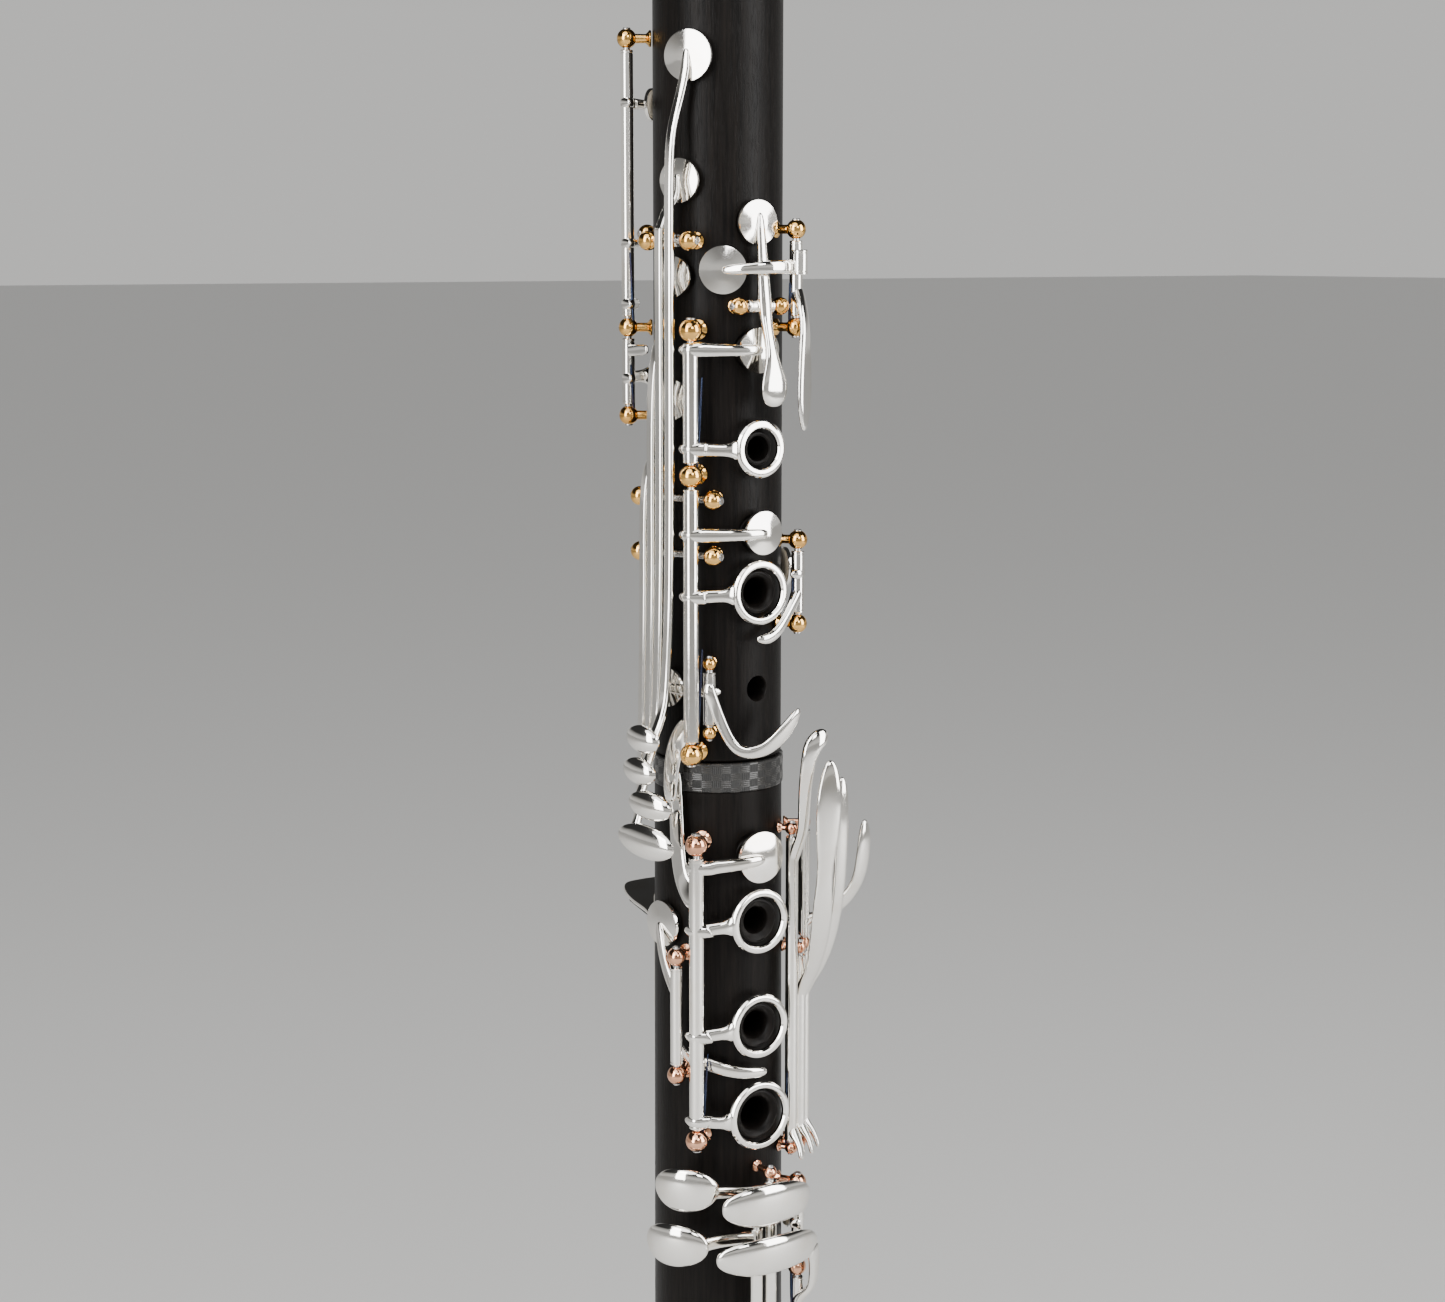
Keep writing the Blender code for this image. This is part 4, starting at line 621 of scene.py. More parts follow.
def posts_and_rod(node, finish, places, ends, ball):
    """Posts at their places, with the rod between its ends and a screw in each end ball."""
    settle(joined([ball_post(*place) for place in places]), node + "_posts", finish, "body", node)
    ahead = (ends[1] - ends[0]).normalized()
    start, end = ends[0] - ahead * ball * 0.9, ends[1] + ahead * ball * 0.9
    rod = turned([(0, 0), (0.75, 0), (0.75, (end - start).length), (0, (end - start).length)], 20,
                 place=between(start, end))
    share = ball / 2.5
    screws = [copied(screw_head, between(end, end + ahead) @ Matrix.Diagonal((share, share, 1, 1))),
              copied(screw_head, between(start, start - ahead) @ Matrix.Diagonal((share, share, 1, 1)))]
    settle(joined([rod] + screws), node + "_rod", steel, "body", None)


def hinge(node, finish, angle, posts, ball=BALL, lift=HINGE_LIFT):
    """Posts up the body on one hinge rod."""
    reach = wood_radius((min(posts) + max(posts)) / 2) + lift
    ends = [outward(angle) * reach + Vector((0, 0, JOINT_LINE + height))
            for height in (min(posts), max(posts))]
    posts_and_rod(node, finish, [(angle, height, ball, lift) for height in posts], ends, ball)


def cross_hinge(node, finish, angles, height, lift, ball=SMALL_BALL):
    """Two posts side by side with their rod across the body; gives the rod's ends."""
    ends = [at(angle, height, lift) for angle in angles]
    posts_and_rod(node, finish, [(angle, height, ball, lift) for angle in angles], ends, ball)
    return ends


UPPER_HINGE, UPPER_POSTS = -50.0, (93.9, 63.2, 2.9)
G_SHARP_HINGE, G_SHARP_POSTS = 25.5, (114.9, 94.3)
SLIVER_HINGE, SLIVER_POSTS, SLIVER_LIFT = 33.0, (48.4, 30.0), 5.0
C_SHARP_HINGE, C_SHARP_POSTS, C_SHARP_LIFT = -39.0, (22.6, 7.4), 3.3
TRILL_PIVOT, THIRD_PIVOT, FOURTH_PIVOT = 112.5, 58.0, 46.0
BACK_HINGE, BACK_POSTS = -118.0, (155.0, 94.0, 75.0)
hinge("upper_hinge", gold_plate, UPPER_HINGE, UPPER_POSTS)
a_ends = cross_hinge("a_hinge", gold_plate, (-18.0, 16.0), 98.8, 3.6, 1.9)
hinge("g_sharp_hinge", gold_plate, G_SHARP_HINGE, G_SHARP_POSTS, SMALL_BALL)
hinge("upper_sliver_hinge", gold_plate, SLIVER_HINGE, SLIVER_POSTS, SMALL_BALL, SLIVER_LIFT)
hinge("c_sharp_hinge", gold_plate, C_SHARP_HINGE, C_SHARP_POSTS, LITTLE_BALL, C_SHARP_LIFT)
trill_ends = cross_hinge("trill_hinge", gold_plate, (-84.0, -51.5), TRILL_PIVOT, 5.0)
third_ends = cross_hinge("third_side_hinge", gold_plate, (-98.0, -36.0), THIRD_PIVOT, 4.6)
fourth_ends = cross_hinge("fourth_side_hinge", gold_plate, (-98.0, -36.0), FOURTH_PIVOT, 4.6)
hinge("back_hinge", gold_plate, BACK_HINGE, BACK_POSTS, SMALL_BALL)
register_ends = cross_hinge("register_hinge", gold_plate, (156.0, 204.0), 114.0, 4.6)
LITTLE_TOP = -92.5
E_PAD, F_PAD, F_SHARP_PAD = 30.0 - LOWER_LENGTH, 58.0 - LOWER_LENGTH, 80.0 - LOWER_LENGTH
E_POSTS = (LITTLE_TOP - 10.5, E_PAD - 8.0)
F_SHARP_POSTS = (LITTLE_TOP, F_SHARP_PAD - 6.0)
RIGHT_POSTS = (LITTLE_TOP - 5.0, -117.6, F_PAD - 6.0)
LEVER_FOOT, LEVER_MIDDLE, LEVER_TOP = LITTLE_TOP + 2.5, -44.0, -16.0
LOWER_HINGE, LOWER_POSTS = -46.5, (-17.0, -84.0)
LOWER_SLIVER_HINGE, LOWER_SLIVER_POSTS, LOWER_SLIVER_LIFT = -61.0, (-42.6, -69.6), 5.0
E_HINGE, F_SHARP_HINGE, RIGHT_HINGE = -8.0, 2.5, 30.0
LEVER_ANGLES, LEVER_LIFTS = (33.0, 44.0, 55.0), (3.6, 4.4, 5.0)
hinge("lower_hinge", rose_gold_plate, LOWER_HINGE, LOWER_POSTS)
hinge("lower_sliver_hinge", rose_gold_plate, LOWER_SLIVER_HINGE, LOWER_SLIVER_POSTS,
      SMALL_BALL, LOWER_SLIVER_LIFT)
hinge("e_hinge", rose_gold_plate, E_HINGE, E_POSTS, LITTLE_BALL)
hinge("f_sharp_hinge", rose_gold_plate, F_SHARP_HINGE, F_SHARP_POSTS, LITTLE_BALL)
hinge("f_and_a_flat_hinge", rose_gold_plate, RIGHT_HINGE, RIGHT_POSTS, SMALL_BALL)
for i, posts in enumerate(((LEVER_TOP, LEVER_FOOT), (LEVER_MIDDLE, LEVER_FOOT),
                           (LEVER_TOP, LEVER_MIDDLE, LEVER_FOOT))):
    hinge(f"left_lever_hinge_{i + 1}", rose_gold_plate, LEVER_ANGLES[i], posts,
          LITTLE_BALL, LEVER_LIFTS[i])


# Key parts. Every key is soldered up from a drawn tube on its rod, forged arms and touches, turned pad
# cups and finger rings; white skin pads are stuck in the cups, and cork stops the noise under arms.
TUBE, SLIM_TUBE = 1.7, 1.4
PAD_LIFT, OPEN_PAD = 0.5, 1.8
RING_LIFT = 2.2
CUP_TOP = PAD_LIFT + 2.2
OPEN_TOP = OPEN_PAD + 2.2


def drawn(levels, sides, placed, smooth=2):
    """A bar drawn through rings of points: placed gives the point for a level and a place on its ring."""
    bpy.ops.object.select_all(action="DESELECT")
    bpy.ops.mesh.primitive_circle_add(vertices=sides, radius=1.0, fill_type="NGON")
    bpy.ops.object.mode_set(mode="EDIT")
    bpy.ops.mesh.select_all(action="SELECT")
    for _ in range(levels - 1):
        bpy.ops.mesh.extrude_region_move(TRANSFORM_OT_translate={"value": (0.0, 0.0, 1.0)})
    bpy.ops.object.mode_set(mode="OBJECT")
    piece = bpy.context.object
    for vertex in piece.data.vertices:
        vertex.co = placed(round(vertex.co.z), vertex.co.x, vertex.co.y)
    bpy.ops.object.mode_set(mode="EDIT")
    bpy.ops.mesh.select_all(action="SELECT")
    bpy.ops.mesh.normals_make_consistent(inside=False)
    bpy.ops.object.mode_set(mode="OBJECT")
    if smooth:
        rounding = piece.modifiers.new("rounding", "SUBSURF")
        rounding.levels = smooth
        rounding.render_levels = smooth
        bpy.ops.object.modifier_apply(modifier=rounding.name)
    return piece


def forged(stations, squareness=0.5, sides=8, facing=0.0):
    """A lever or touch through (angle, height, lift, half width, half thickness) stations.

    Its broad side faces outward, or so many degrees round from outward.
    """
    centres = [at(*station[:3]) for station in stations]
    frames = []
    for i, station in enumerate(stations):
        ahead = (centres[min(i + 1, len(centres) - 1)] - centres[max(i - 1, 0)]).normalized()
        out = outward(station[0] + facing)
        out = (out - out.dot(ahead) * ahead).normalized()
        frames.append((centres[i], ahead.cross(out) * station[3] * 1.08, out * station[4] * 1.08))

    def placed(level, x, y):
        centre, across, out = frames[level]
        wide = abs(x) ** squareness * (1 if x > 0 else -1)
        tall = abs(y) ** squareness * (1 if y > 0 else -1)
        return centre + across * wide + out * tall

    return drawn(len(stations), sides, placed)


def arm(angle, height, stations, lift=HINGE_LIFT, tube=TUBE, width=1.5, thickness=0.8):
    """A forged arm whose pointed saddle wraps its tube before it sets off through the stations."""
    side = 1 if stations[0][0] > angle else -1
    step = degrees(side / (wood_radius(height) + lift))
    saddle = [(angle - (tube + 1.2) * step, height, lift - 0.4, 0.3, 0.3),
              (angle - (tube + 0.45) * step, height, lift - 0.2, 0.9, tube * 0.5),
              (angle - 0.5 * step, height, lift, width + 0.2, tube + 0.35),
              (angle + (tube + 0.2) * step, height, lift, width + 0.1, tube * 0.8),
              (angle + (tube + 1.6) * step, height, lift, width, thickness)]
    return forged(saddle + stations)


def swept(start, end, width, thickness, steps=3, bow=0.0):
    """Stations that follow the curve of the body from one place to another."""
    stations = []
    for i in range(1, steps + 1):
        share = i / steps
        place = [a + (b - a) * share for a, b in zip(start, end)]
        stations.append((place[0], place[1], place[2] + bow * sin(pi * share),
                         width[0] + (width[1] - width[0]) * share, thickness))
    return stations


def beside(angle, height, lift, across):
    """The place level with a flat disc at an angle, a distance across from its centre."""
    radius = wood_radius(height) + lift
    return angle + degrees(atan2(across, radius)), height, hypot(radius, across) - wood_radius(height)


def tube_between(start, end, radius):
    """A drawn tube with a turned line near each end."""
    length = (end - start).length
    line = 0.5 if length > 5 else 0.3
    profile = [(0.82, 0), (radius - 0.15, 0), (radius, 0.15), (radius, line), (radius - 0.12, line + 0.08),
               (radius - 0.12, line + 0.2), (radius, line + 0.28)]
    profile += [(r, length - h) for r, h in profile[::-1]] + [(0.82, 0)]
    return turned(profile, 32, place=between(start, end))


def upright_tube(angle, low, high, middle, ball=BALL, radius=TUBE, lift=HINGE_LIFT):
    """A key's tube along the body, between the balls of two posts."""
    reach = outward(angle) * (wood_radius(middle) + lift)
    start, end = (reach + Vector((0, 0, JOINT_LINE + height)) for height in
                  (low + ball + CLEARANCE, high - ball - CLEARANCE))
    return tube_between(start, end, radius)


def cross_tube(ends, share, length, radius=SLIM_TUBE):
    """A key's tube on a rod across the body, centred a share of the way along it."""
    ahead = (ends[1] - ends[0]).normalized()
    centre = ends[0].lerp(ends[1], share)
    return tube_between(centre - ahead * length / 2, centre + ahead * length / 2, radius)


def pad_cup(angle, height, radius, lift=PAD_LIFT):
    """A pad cup with a crisp rim and a crown that rises in a shallow cone."""
    rim = radius - 0.05
    return turned([(0, 0.75), (radius * 0.92, 0.75), (radius * 0.92, 0.55), (rim, 0.55), (radius, 0.62),
                   (radius, 1.28), (rim, 1.4), (rim - 0.3, 1.45), (radius * 0.5, 1.75), (0, 2.1)], 56,
                  place=seat(angle, height, lift))


def pad_skin(angle, height, radius, lift=PAD_LIFT):
    """The pad itself: a rounded felt cushion under its skin."""
    edge = radius * 0.9
    return turned([(0, 0.08), (edge - 0.7, 0.05), (edge - 0.2, 0.16), (edge, 0.4), (edge, 0.74),
                   (0, 0.74)], 48, place=seat(angle, height, lift))


def finger_ring(angle, height, inner, outer):
    """A finger ring: flat on top, its edges broken."""
    return turned([(inner, 0.12), (inner + 0.12, 0), (outer - 0.15, 0), (outer, 0.15), (outer, 0.75),
                   (outer - 0.3, 1.16), (outer - 0.42, 1.2), (inner + 0.42, 1.3), (inner + 0.28, 1.26),
                   (inner, 0.9), (inner, 0.12)], 72, place=seat(angle, height, RING_LIFT))


def speckled_group():
    """Cork, leather and skin: two colours in grains of a given size, over a fine bump."""
    group, given, result = new_group("speckled", (
        ("NodeSocketColor", "Ground", (0.6, 0.4, 0.25, 1.0)),
        ("NodeSocketColor", "Fleck", (0.3, 0.2, 0.1, 1.0)),
        ("NodeSocketFloat", "Fineness", 900.0), ("NodeSocketFloat", "Flecks", 0.55),
        ("NodeSocketFloat", "Depth", 0.4), ("NodeSocketFloat", "Roughest", 0.9),
    ), (("NodeSocketColor", "Colour"), ("NodeSocketFloat", "Roughness"), ("NodeSocketVector", "Normal")))
    nodes, links = group.nodes, group.links
    place = nodes.new("ShaderNodeTexCoord")
    grain = nodes.new("ShaderNodeTexNoise")
    grain.inputs["Detail"].default_value = 5.0
    links.new(place.outputs["Object"], grain.inputs["Vector"])
    links.new(given.outputs["Fineness"], grain.inputs["Scale"])
    fleck = nodes.new("ShaderNodeMapRange")
    fleck.inputs["From Max"].default_value = 0.75
    links.new(grain.outputs["Fac"], fleck.inputs["Value"])
    links.new(given.outputs["Flecks"], fleck.inputs["From Min"])
    colour = nodes.new("ShaderNodeMix")
    colour.data_type = "RGBA"
    links.new(fleck.outputs["Result"], colour.inputs["Factor"])
    links.new(given.outputs["Ground"], colour.inputs[6])
    links.new(given.outputs["Fleck"], colour.inputs[7])
    links.new(colour.outputs[2], result.inputs["Colour"])
    rough = nodes.new("ShaderNodeMapRange")
    rough.inputs["To Min"].default_value = 0.5
    links.new(grain.outputs["Fac"], rough.inputs["Value"])
    links.new(given.outputs["Roughest"], rough.inputs["To Max"])
    links.new(rough.outputs["Result"], result.inputs["Roughness"])
    bump = nodes.new("ShaderNodeBump")
    bump.inputs["Distance"].default_value = 0.00008
    links.new(given.outputs["Depth"], bump.inputs["Strength"])
    links.new(grain.outputs["Fac"], bump.inputs["Height"])
    links.new(bump.outputs["Normal"], result.inputs["Normal"])
    return group


speckled = speckled_group()
pad_material, pad_shader = new_material("pad_skin")
finish_from(pad_material, pad_shader, speckled, {
    "Ground": (0.80, 0.72, 0.58, 1.0), "Fleck": (0.62, 0.50, 0.36, 1.0), "Fineness": 1400.0, "Flecks": 0.5,
    "Depth": 0.25, "Roughest": 0.75})
cork_material, cork_shader = new_material("natural_cork")
finish_from(cork_material, cork_shader, speckled, {
    "Ground": (0.52, 0.33, 0.18, 1.0), "Fleck": (0.16, 0.08, 0.04, 1.0), "Fineness": 1100.0, "Flecks": 0.52,
    "Depth": 0.7, "Roughest": 0.95})
bumper_material, bumper_shader = new_material("black_key_cork")
finish_from(bumper_material, bumper_shader, speckled, {
    "Ground": (0.012, 0.012, 0.012, 1.0), "Fleck": (0.05, 0.048, 0.045, 1.0), "Fineness": 1500.0,
    "Flecks": 0.6,
    "Depth": 0.5, "Roughest": 0.95})


def key(node, metal, pads=(), corks=()):
    """A finished key: its silver, its pads and its corks on the body of the same name."""
    settle(joined(metal), node + "_silver", silver_plate, node, node, 32.0)
    if pads:
        settle(joined([pad_skin(*pad) for pad in pads]), node + "_pads", pad_material, node)
    if corks:
        settle(joined(corks), node + "_corks", bumper_material, node)


def cork_stop(angle, height, lift, radius, thick):
    """A cork disc glued under an arm or a touch."""
    return turned([(0, 0), (radius - 0.15, 0), (radius, 0.15), (radius, thick), (0, thick)], 24,
                  place=seat(angle, height, lift))


# Ring keys of the upper joint. The first finger's ring shares a tube with its pad above; the third
# finger's ring shares the next tube with its pad and with the bridge plate over the joint line.
UPPER_MIDDLE = (UPPER_POSTS[0] + UPPER_POSTS[2]) / 2
pad = (-1.6, 89.5, 4.85, OPEN_PAD)
key("first_ring_key", [
    upright_tube(UPPER_HINGE, UPPER_POSTS[1], UPPER_POSTS[0], UPPER_MIDDLE),
    arm(UPPER_HINGE, 89.8, swept((UPPER_HINGE, 89.8, HINGE_LIFT), (-4.0, 89.6, OPEN_TOP + 0.3), (1.5, 1.1),
                                 0.8, 4)
        + [(-1.0, 89.5, OPEN_TOP, 0.5, 0.35)]),
    pad_cup(*pad),
    arm(UPPER_HINGE, 68.9, swept((UPPER_HINGE, 68.9, HINGE_LIFT), beside(0.0, 68.6, RING_LIFT + 0.7, -7.6),
                                 (1.4, 1.3), 0.7)
        + [(*beside(0.0, 68.6, RING_LIFT + 0.65, -5.4), 2.8, 0.5)]),
    finger_ring(0.0, 68.6, 4.3, 6.2),
], [pad])
pad = (2.7, 50.5, 4.75, OPEN_PAD)
key("second_ring_key", [
    upright_tube(UPPER_HINGE, UPPER_POSTS[2], UPPER_POSTS[1], UPPER_MIDDLE),
    arm(UPPER_HINGE, 50.6, swept((UPPER_HINGE, 50.6, HINGE_LIFT), (0.0, 50.5, OPEN_TOP + 0.3), (1.5, 1.1),
                                 0.8, 4)
        + [(3.0, 50.5, OPEN_TOP, 0.5, 0.35)]),
    pad_cup(*pad),
    arm(UPPER_HINGE, 37.3, swept((UPPER_HINGE, 37.3, HINGE_LIFT), beside(0.0, 37.6, RING_LIFT + 0.7, -8.4),
                                 (1.4, 1.3), 0.7)
        + [(*beside(0.0, 37.6, RING_LIFT + 0.65, -6.3), 3.0, 0.5)]),
    finger_ring(0.0, 37.6, 5.3, 7.0),
    forged([(-50.5, 9.5, 4.8, 2.3, 0.7), (-58, 7.5, 3.9, 2.2, 0.4), (-66, 3.0, 3.9, 2.0, 0.4),
            (-67.5, -3.0, 4.0, 1.8, 0.45), (-68, -9.0, 4.0, 1.5, 0.45)], 0.35),
], [pad])


# Throat keys. The A key rocks on a short cross rod with a teardrop touch; the G sharp key's blade runs
# beside it and carries the adjusting screw that rides on the A key.
pad = (0.0, 116.3, 4.75)
key("a_key", [
    cross_tube(a_ends, 0.5, 6.2),
    forged([(0, 118.5, CUP_TOP - 0.4, 0.5, 0.4), (0, 116.0, CUP_TOP, 0.9, 0.55),
            (0, 110, CUP_TOP + 0.5, 1.1, 0.7), (0, 103, 3.9, 1.4, 0.9), (0, 98.8, 3.8, 1.7, 1.7),
            (0, 95.5, 4.8, 1.3, 0.9), (-0.5, 90, 7.0, 1.2, 0.75), (0.0, 86.5, 7.4, 1.9, 0.75),
            (1.0, 83, 7.5, 3.3, 0.8), (1.5, 79.8, 7.3, 3.2, 0.75), (1.5, 77.6, 7.0, 1.6, 0.5)], 0.62),
    pad_cup(*pad),
], [pad])
pad = (-29.0, 106.4, 5.1)
adjuster = copied(screw_head, seat(17, 108.0, 8.6) @ Matrix.Rotation(radians(90), 4, "X")
                  @ Matrix.Diagonal((0.95, 0.95, 1, 1)))
key("g_sharp_key", [
    upright_tube(G_SHARP_HINGE, G_SHARP_POSTS[1], G_SHARP_POSTS[0], sum(G_SHARP_POSTS) / 2, SMALL_BALL,
                 SLIM_TUBE),
    forged([(30, 107, 5.6, 0.8, 0.9), (25.5, 107, 5.8, 1.5, 1.6), (18, 107, 6.8, 1.5, 0.8),
            (8, 107, 6.9, 1.4, 0.75), (-3, 107, 6.8, 1.3, 0.7), (-16, 106.6, 5.0, 1.1, 0.7),
            (-26, 106.4, CUP_TOP + 0.1, 1.0, 0.55), (-30, 106.4, CUP_TOP - 0.2, 0.5, 0.35)], 0.4),
    pad_cup(*pad),
    tube_between(at(17, 105.4, 8.6), at(17, 110.6, 8.6), 1.7),
    forged([(25.5, 103, 5.6, 0.8, 1.0), (25.5, 101, 5.8, 1.6, 1.6), (21.5, 98.6, 8.0, 1.4, 0.8),
            (19.6, 95, 9.3, 1.3, 0.75), (18.5, 90, 9.6, 1.7, 0.7), (18.6, 84, 9.6, 2.1, 0.7),
            (19, 79, 9.4, 2.2, 0.7), (19.3, 75, 9.3, 1.6, 0.6), (19.5, 72.3, 9.2, 0.6, 0.4)], 0.6),
], [pad])
settle(adjuster, "g_sharp_adjusting_screw", blued_steel, "g_sharp_key")


# Sliver and C sharp keys, between and below the upper joint's finger holes, each on its own short tube.
pad = (75.0, 41.0, 4.4)
key("upper_sliver_key", [
    upright_tube(SLIVER_HINGE, SLIVER_POSTS[1], SLIVER_POSTS[0], sum(SLIVER_POSTS) / 2, SMALL_BALL, SLIM_TUBE,
                 SLIVER_LIFT),
    forged([(38, 38.6, 4.9, 0.7, 0.7), (33, 36.8, 5.0, 1.5, 1.5), (27, 35.0, 5.0, 1.2, 0.9),
            (20, 31.6, 4.6, 1.1, 0.7), (12, 28.8, 4.3, 1.2, 0.7), (5, 27.6, 4.0, 1.2, 0.65),
            (-1, 27.5, 3.9, 1.0, 0.6), (-5, 27.8, 3.8, 0.5, 0.4)], 0.5),
    arm(33.0, 41.0, swept((33, 41.0, 5.0), (72, 41.0, CUP_TOP + 0.2), (1.3, 1.0), 0.7, 5)
        + [(76, 41.0, CUP_TOP - 0.1, 0.5, 0.35)], 5.0, SLIM_TUBE, 1.3),
    pad_cup(*pad),
], [pad])
pad = (-77.0, 16.5, 4.3)
key("c_sharp_key", [
    upright_tube(C_SHARP_HINGE, C_SHARP_POSTS[1], C_SHARP_POSTS[0], sum(C_SHARP_POSTS) / 2, LITTLE_BALL,
                 SLIM_TUBE, C_SHARP_LIFT),
    forged([(-39, 19.0, 3.8, 0.9, 0.9), (-39, 16.5, 4.0, 1.5, 1.2), (-35.5, 13.6, 4.0, 1.3, 0.8),
            (-31, 10.0, 4.4, 1.2, 0.75), (-25, 5.6, 5.2, 1.2, 0.75), (-19, 3.7, 5.8, 1.3, 0.75),
            (-12, 3.3, 6.3, 1.4, 0.75), (-4, 4.0, 7.2, 1.5, 0.75), (3, 6.2, 8.2, 1.8, 0.75),
            (9, 8.8, 9.0, 1.8, 0.7), (15, 12.8, 10.0, 0.8, 0.45)], 0.55),
    forged([(-30.5, 16.5, 3.2, 0.3, 0.3), (-33.5, 16.5, 3.3, 0.9, 0.7), (-37.5, 16.5, 3.3, 1.4, 1.55),
            (-43, 16.5, 2.8, 1.3, 0.9)]
           + swept((-43, 16.5, 2.4), (-73, 16.5, CUP_TOP - 0.5), (1.25, 1.1), 0.5, 6)
           + [(-77, 16.5, CUP_TOP - 0.2, 0.5, 0.35)]),
    pad_cup(*pad),
], [pad])


# Side keys. Four long levers lie in lanes down the left side; each dips over its rod and ends in an
# oval pebble under the right first finger. Bright, flat on top, their edges only broken.
LEVER_LIFT, LEVER_HALF = 6.6, 0.98
PEBBLE_LIFT, PEBBLE_RISE, PEBBLE_TILT = 11.2, 2.2, -8.0


def lane_share(ends, angle):
    """How far along a cross rod the plane at an angle round the bore meets it."""
    normal = Vector((cos(radians(angle)), sin(radians(angle)), 0.0))
    return normal.dot(ends[0]) / normal.dot(ends[0] - ends[1])


def pebble(angle, height, half_around, half_up):
    """An oval touch, domed on a low straight edge."""
    stone = turned([(0, 0), (0.8, 0), (0.93, 0.1), (1.0, 0.35), (1.0, 0.75), (0.93, 1.15), (0.75, 1.6),
                    (0.45, 1.98), (0.2, 2.15), (0, PEBBLE_RISE)], 56)
    tilt = Matrix.Rotation(radians(PEBBLE_TILT), 4, "Z")
    size = Matrix.Diagonal((half_around, half_up, 1, 1))
    stone.matrix_world = seat(angle, height, PEBBLE_LIFT) @ tilt @ size
    bpy.ops.object.transform_apply(location=True, rotation=True, scale=True)
    return stone


# rod, pivot, lane, pad, where the lever dips, lean, stalk, touch place and half sizes
side_table = (
    (trill_ends, TRILL_PIVOT, -62.5, (-56.5, 150.6, 5.35), 133.0, 3.5, -67.3, (-71.8, 6.6, 4.5, 3.0)),
    (trill_ends, TRILL_PIVOT, -69.5, (-64.4, 125.0, 4.7), 114.0, 3.5, -72.8, (-73.8, -0.5, 4.6, 2.9)),
    (third_ends, THIRD_PIVOT, -76.5, (-70.0, 105.0, 4.3), 86.0, 3.0, -78.0, (-67.4, -7.8, 5.6, 3.1)),
    (fourth_ends, FOURTH_PIVOT, -83.5, (-71.0, 79.0, 4.3), 62.0, 2.5, -83.0, (-69.8, -15.9, 7.6, 3.7)),
)
for i, (ends, pivot, lane, pad, leave, lean, stalk, touch) in enumerate(side_table):
    share = lane_share(ends, lane)
    origin = ends[0].lerp(ends[1], share)
    lift = hypot(origin.x, origin.y) - UPPER_RADIUS
    saddle = turned([(0, 0), (0.95, 0), (0.95, LEVER_LIFT - lift), (0, LEVER_LIFT - lift)], 24,
                    place=seat(lane, pivot, lift))
    touch_height = touch[1]
    lever = forged([
        (pad[0], pad[1] + 1.5, CUP_TOP - 0.2, 0.5, 0.35), (pad[0], pad[1] - 1.0, CUP_TOP, 0.9, 0.4),
        (pad[0], pad[1] - 4.0, CUP_TOP + 0.35, LEVER_HALF, 0.55),
        (lane, leave + 5.5, CUP_TOP + 1.2, LEVER_HALF, 0.7), (lane, leave, LEVER_LIFT, LEVER_HALF, 0.7),
        (lane, pivot + 3, LEVER_LIFT, LEVER_HALF, 0.75), (lane, pivot, LEVER_LIFT, LEVER_HALF, 0.8),
        (lane, pivot - 3, LEVER_LIFT, LEVER_HALF, 0.8), (lane, 36.0, LEVER_LIFT, LEVER_HALF, 0.8),
        (lane - lean, touch_height + 13.0, LEVER_LIFT, LEVER_HALF, 0.8),
        (lane - lean, touch_height + 7.5, LEVER_LIFT + 0.4, LEVER_HALF, 0.8),
        (stalk, touch_height + 2.6, LEVER_LIFT + 2.2, LEVER_HALF, 0.8),
        (stalk, touch_height - 0.6, PEBBLE_LIFT + 0.4, 1.05, 0.7)], 0.25)
    silver = [cross_tube(ends, share, 1.9), saddle, lever, pad_cup(*pad), pebble(*touch)]
    key(f"side_key_{i + 1}", silver, [pad])


# Back of the upper joint. The vent key and the thumb ring share the long back rod; the register lever
# rocks on its own cross rod above the thumb hole, which is lined with a plated bush.
BACK_MIDDLE = (BACK_POSTS[0] + BACK_POSTS[2]) / 2
pad = (-147.0, 141.6, 3.6)
key("vent_key", [
    upright_tube(BACK_HINGE, BACK_POSTS[1], BACK_POSTS[0], BACK_MIDDLE, SMALL_BALL, SLIM_TUBE),
    arm(BACK_HINGE, 141.6, swept((BACK_HINGE, 141.6, HINGE_LIFT), (-144, 141.6, CUP_TOP + 0.1), (1.3, 1.0),
                                 0.7, 4)
        + [(-148, 141.6, CUP_TOP - 0.2, 0.5, 0.35)], tube=SLIM_TUBE, width=1.2),
    pad_cup(*pad),
    arm(BACK_HINGE, 112.0, swept((BACK_HINGE, 112.0, HINGE_LIFT), (-141, 112.0, 3.8), (1.2, 0.8), 0.7),
        tube=SLIM_TUBE, width=1.2),
    arm(BACK_HINGE, 99.0, swept((BACK_HINGE, 99.0, HINGE_LIFT), (-140, 99.0, 4.4), (1.6, 1.2), 0.9),
        tube=SLIM_TUBE),
], [pad])
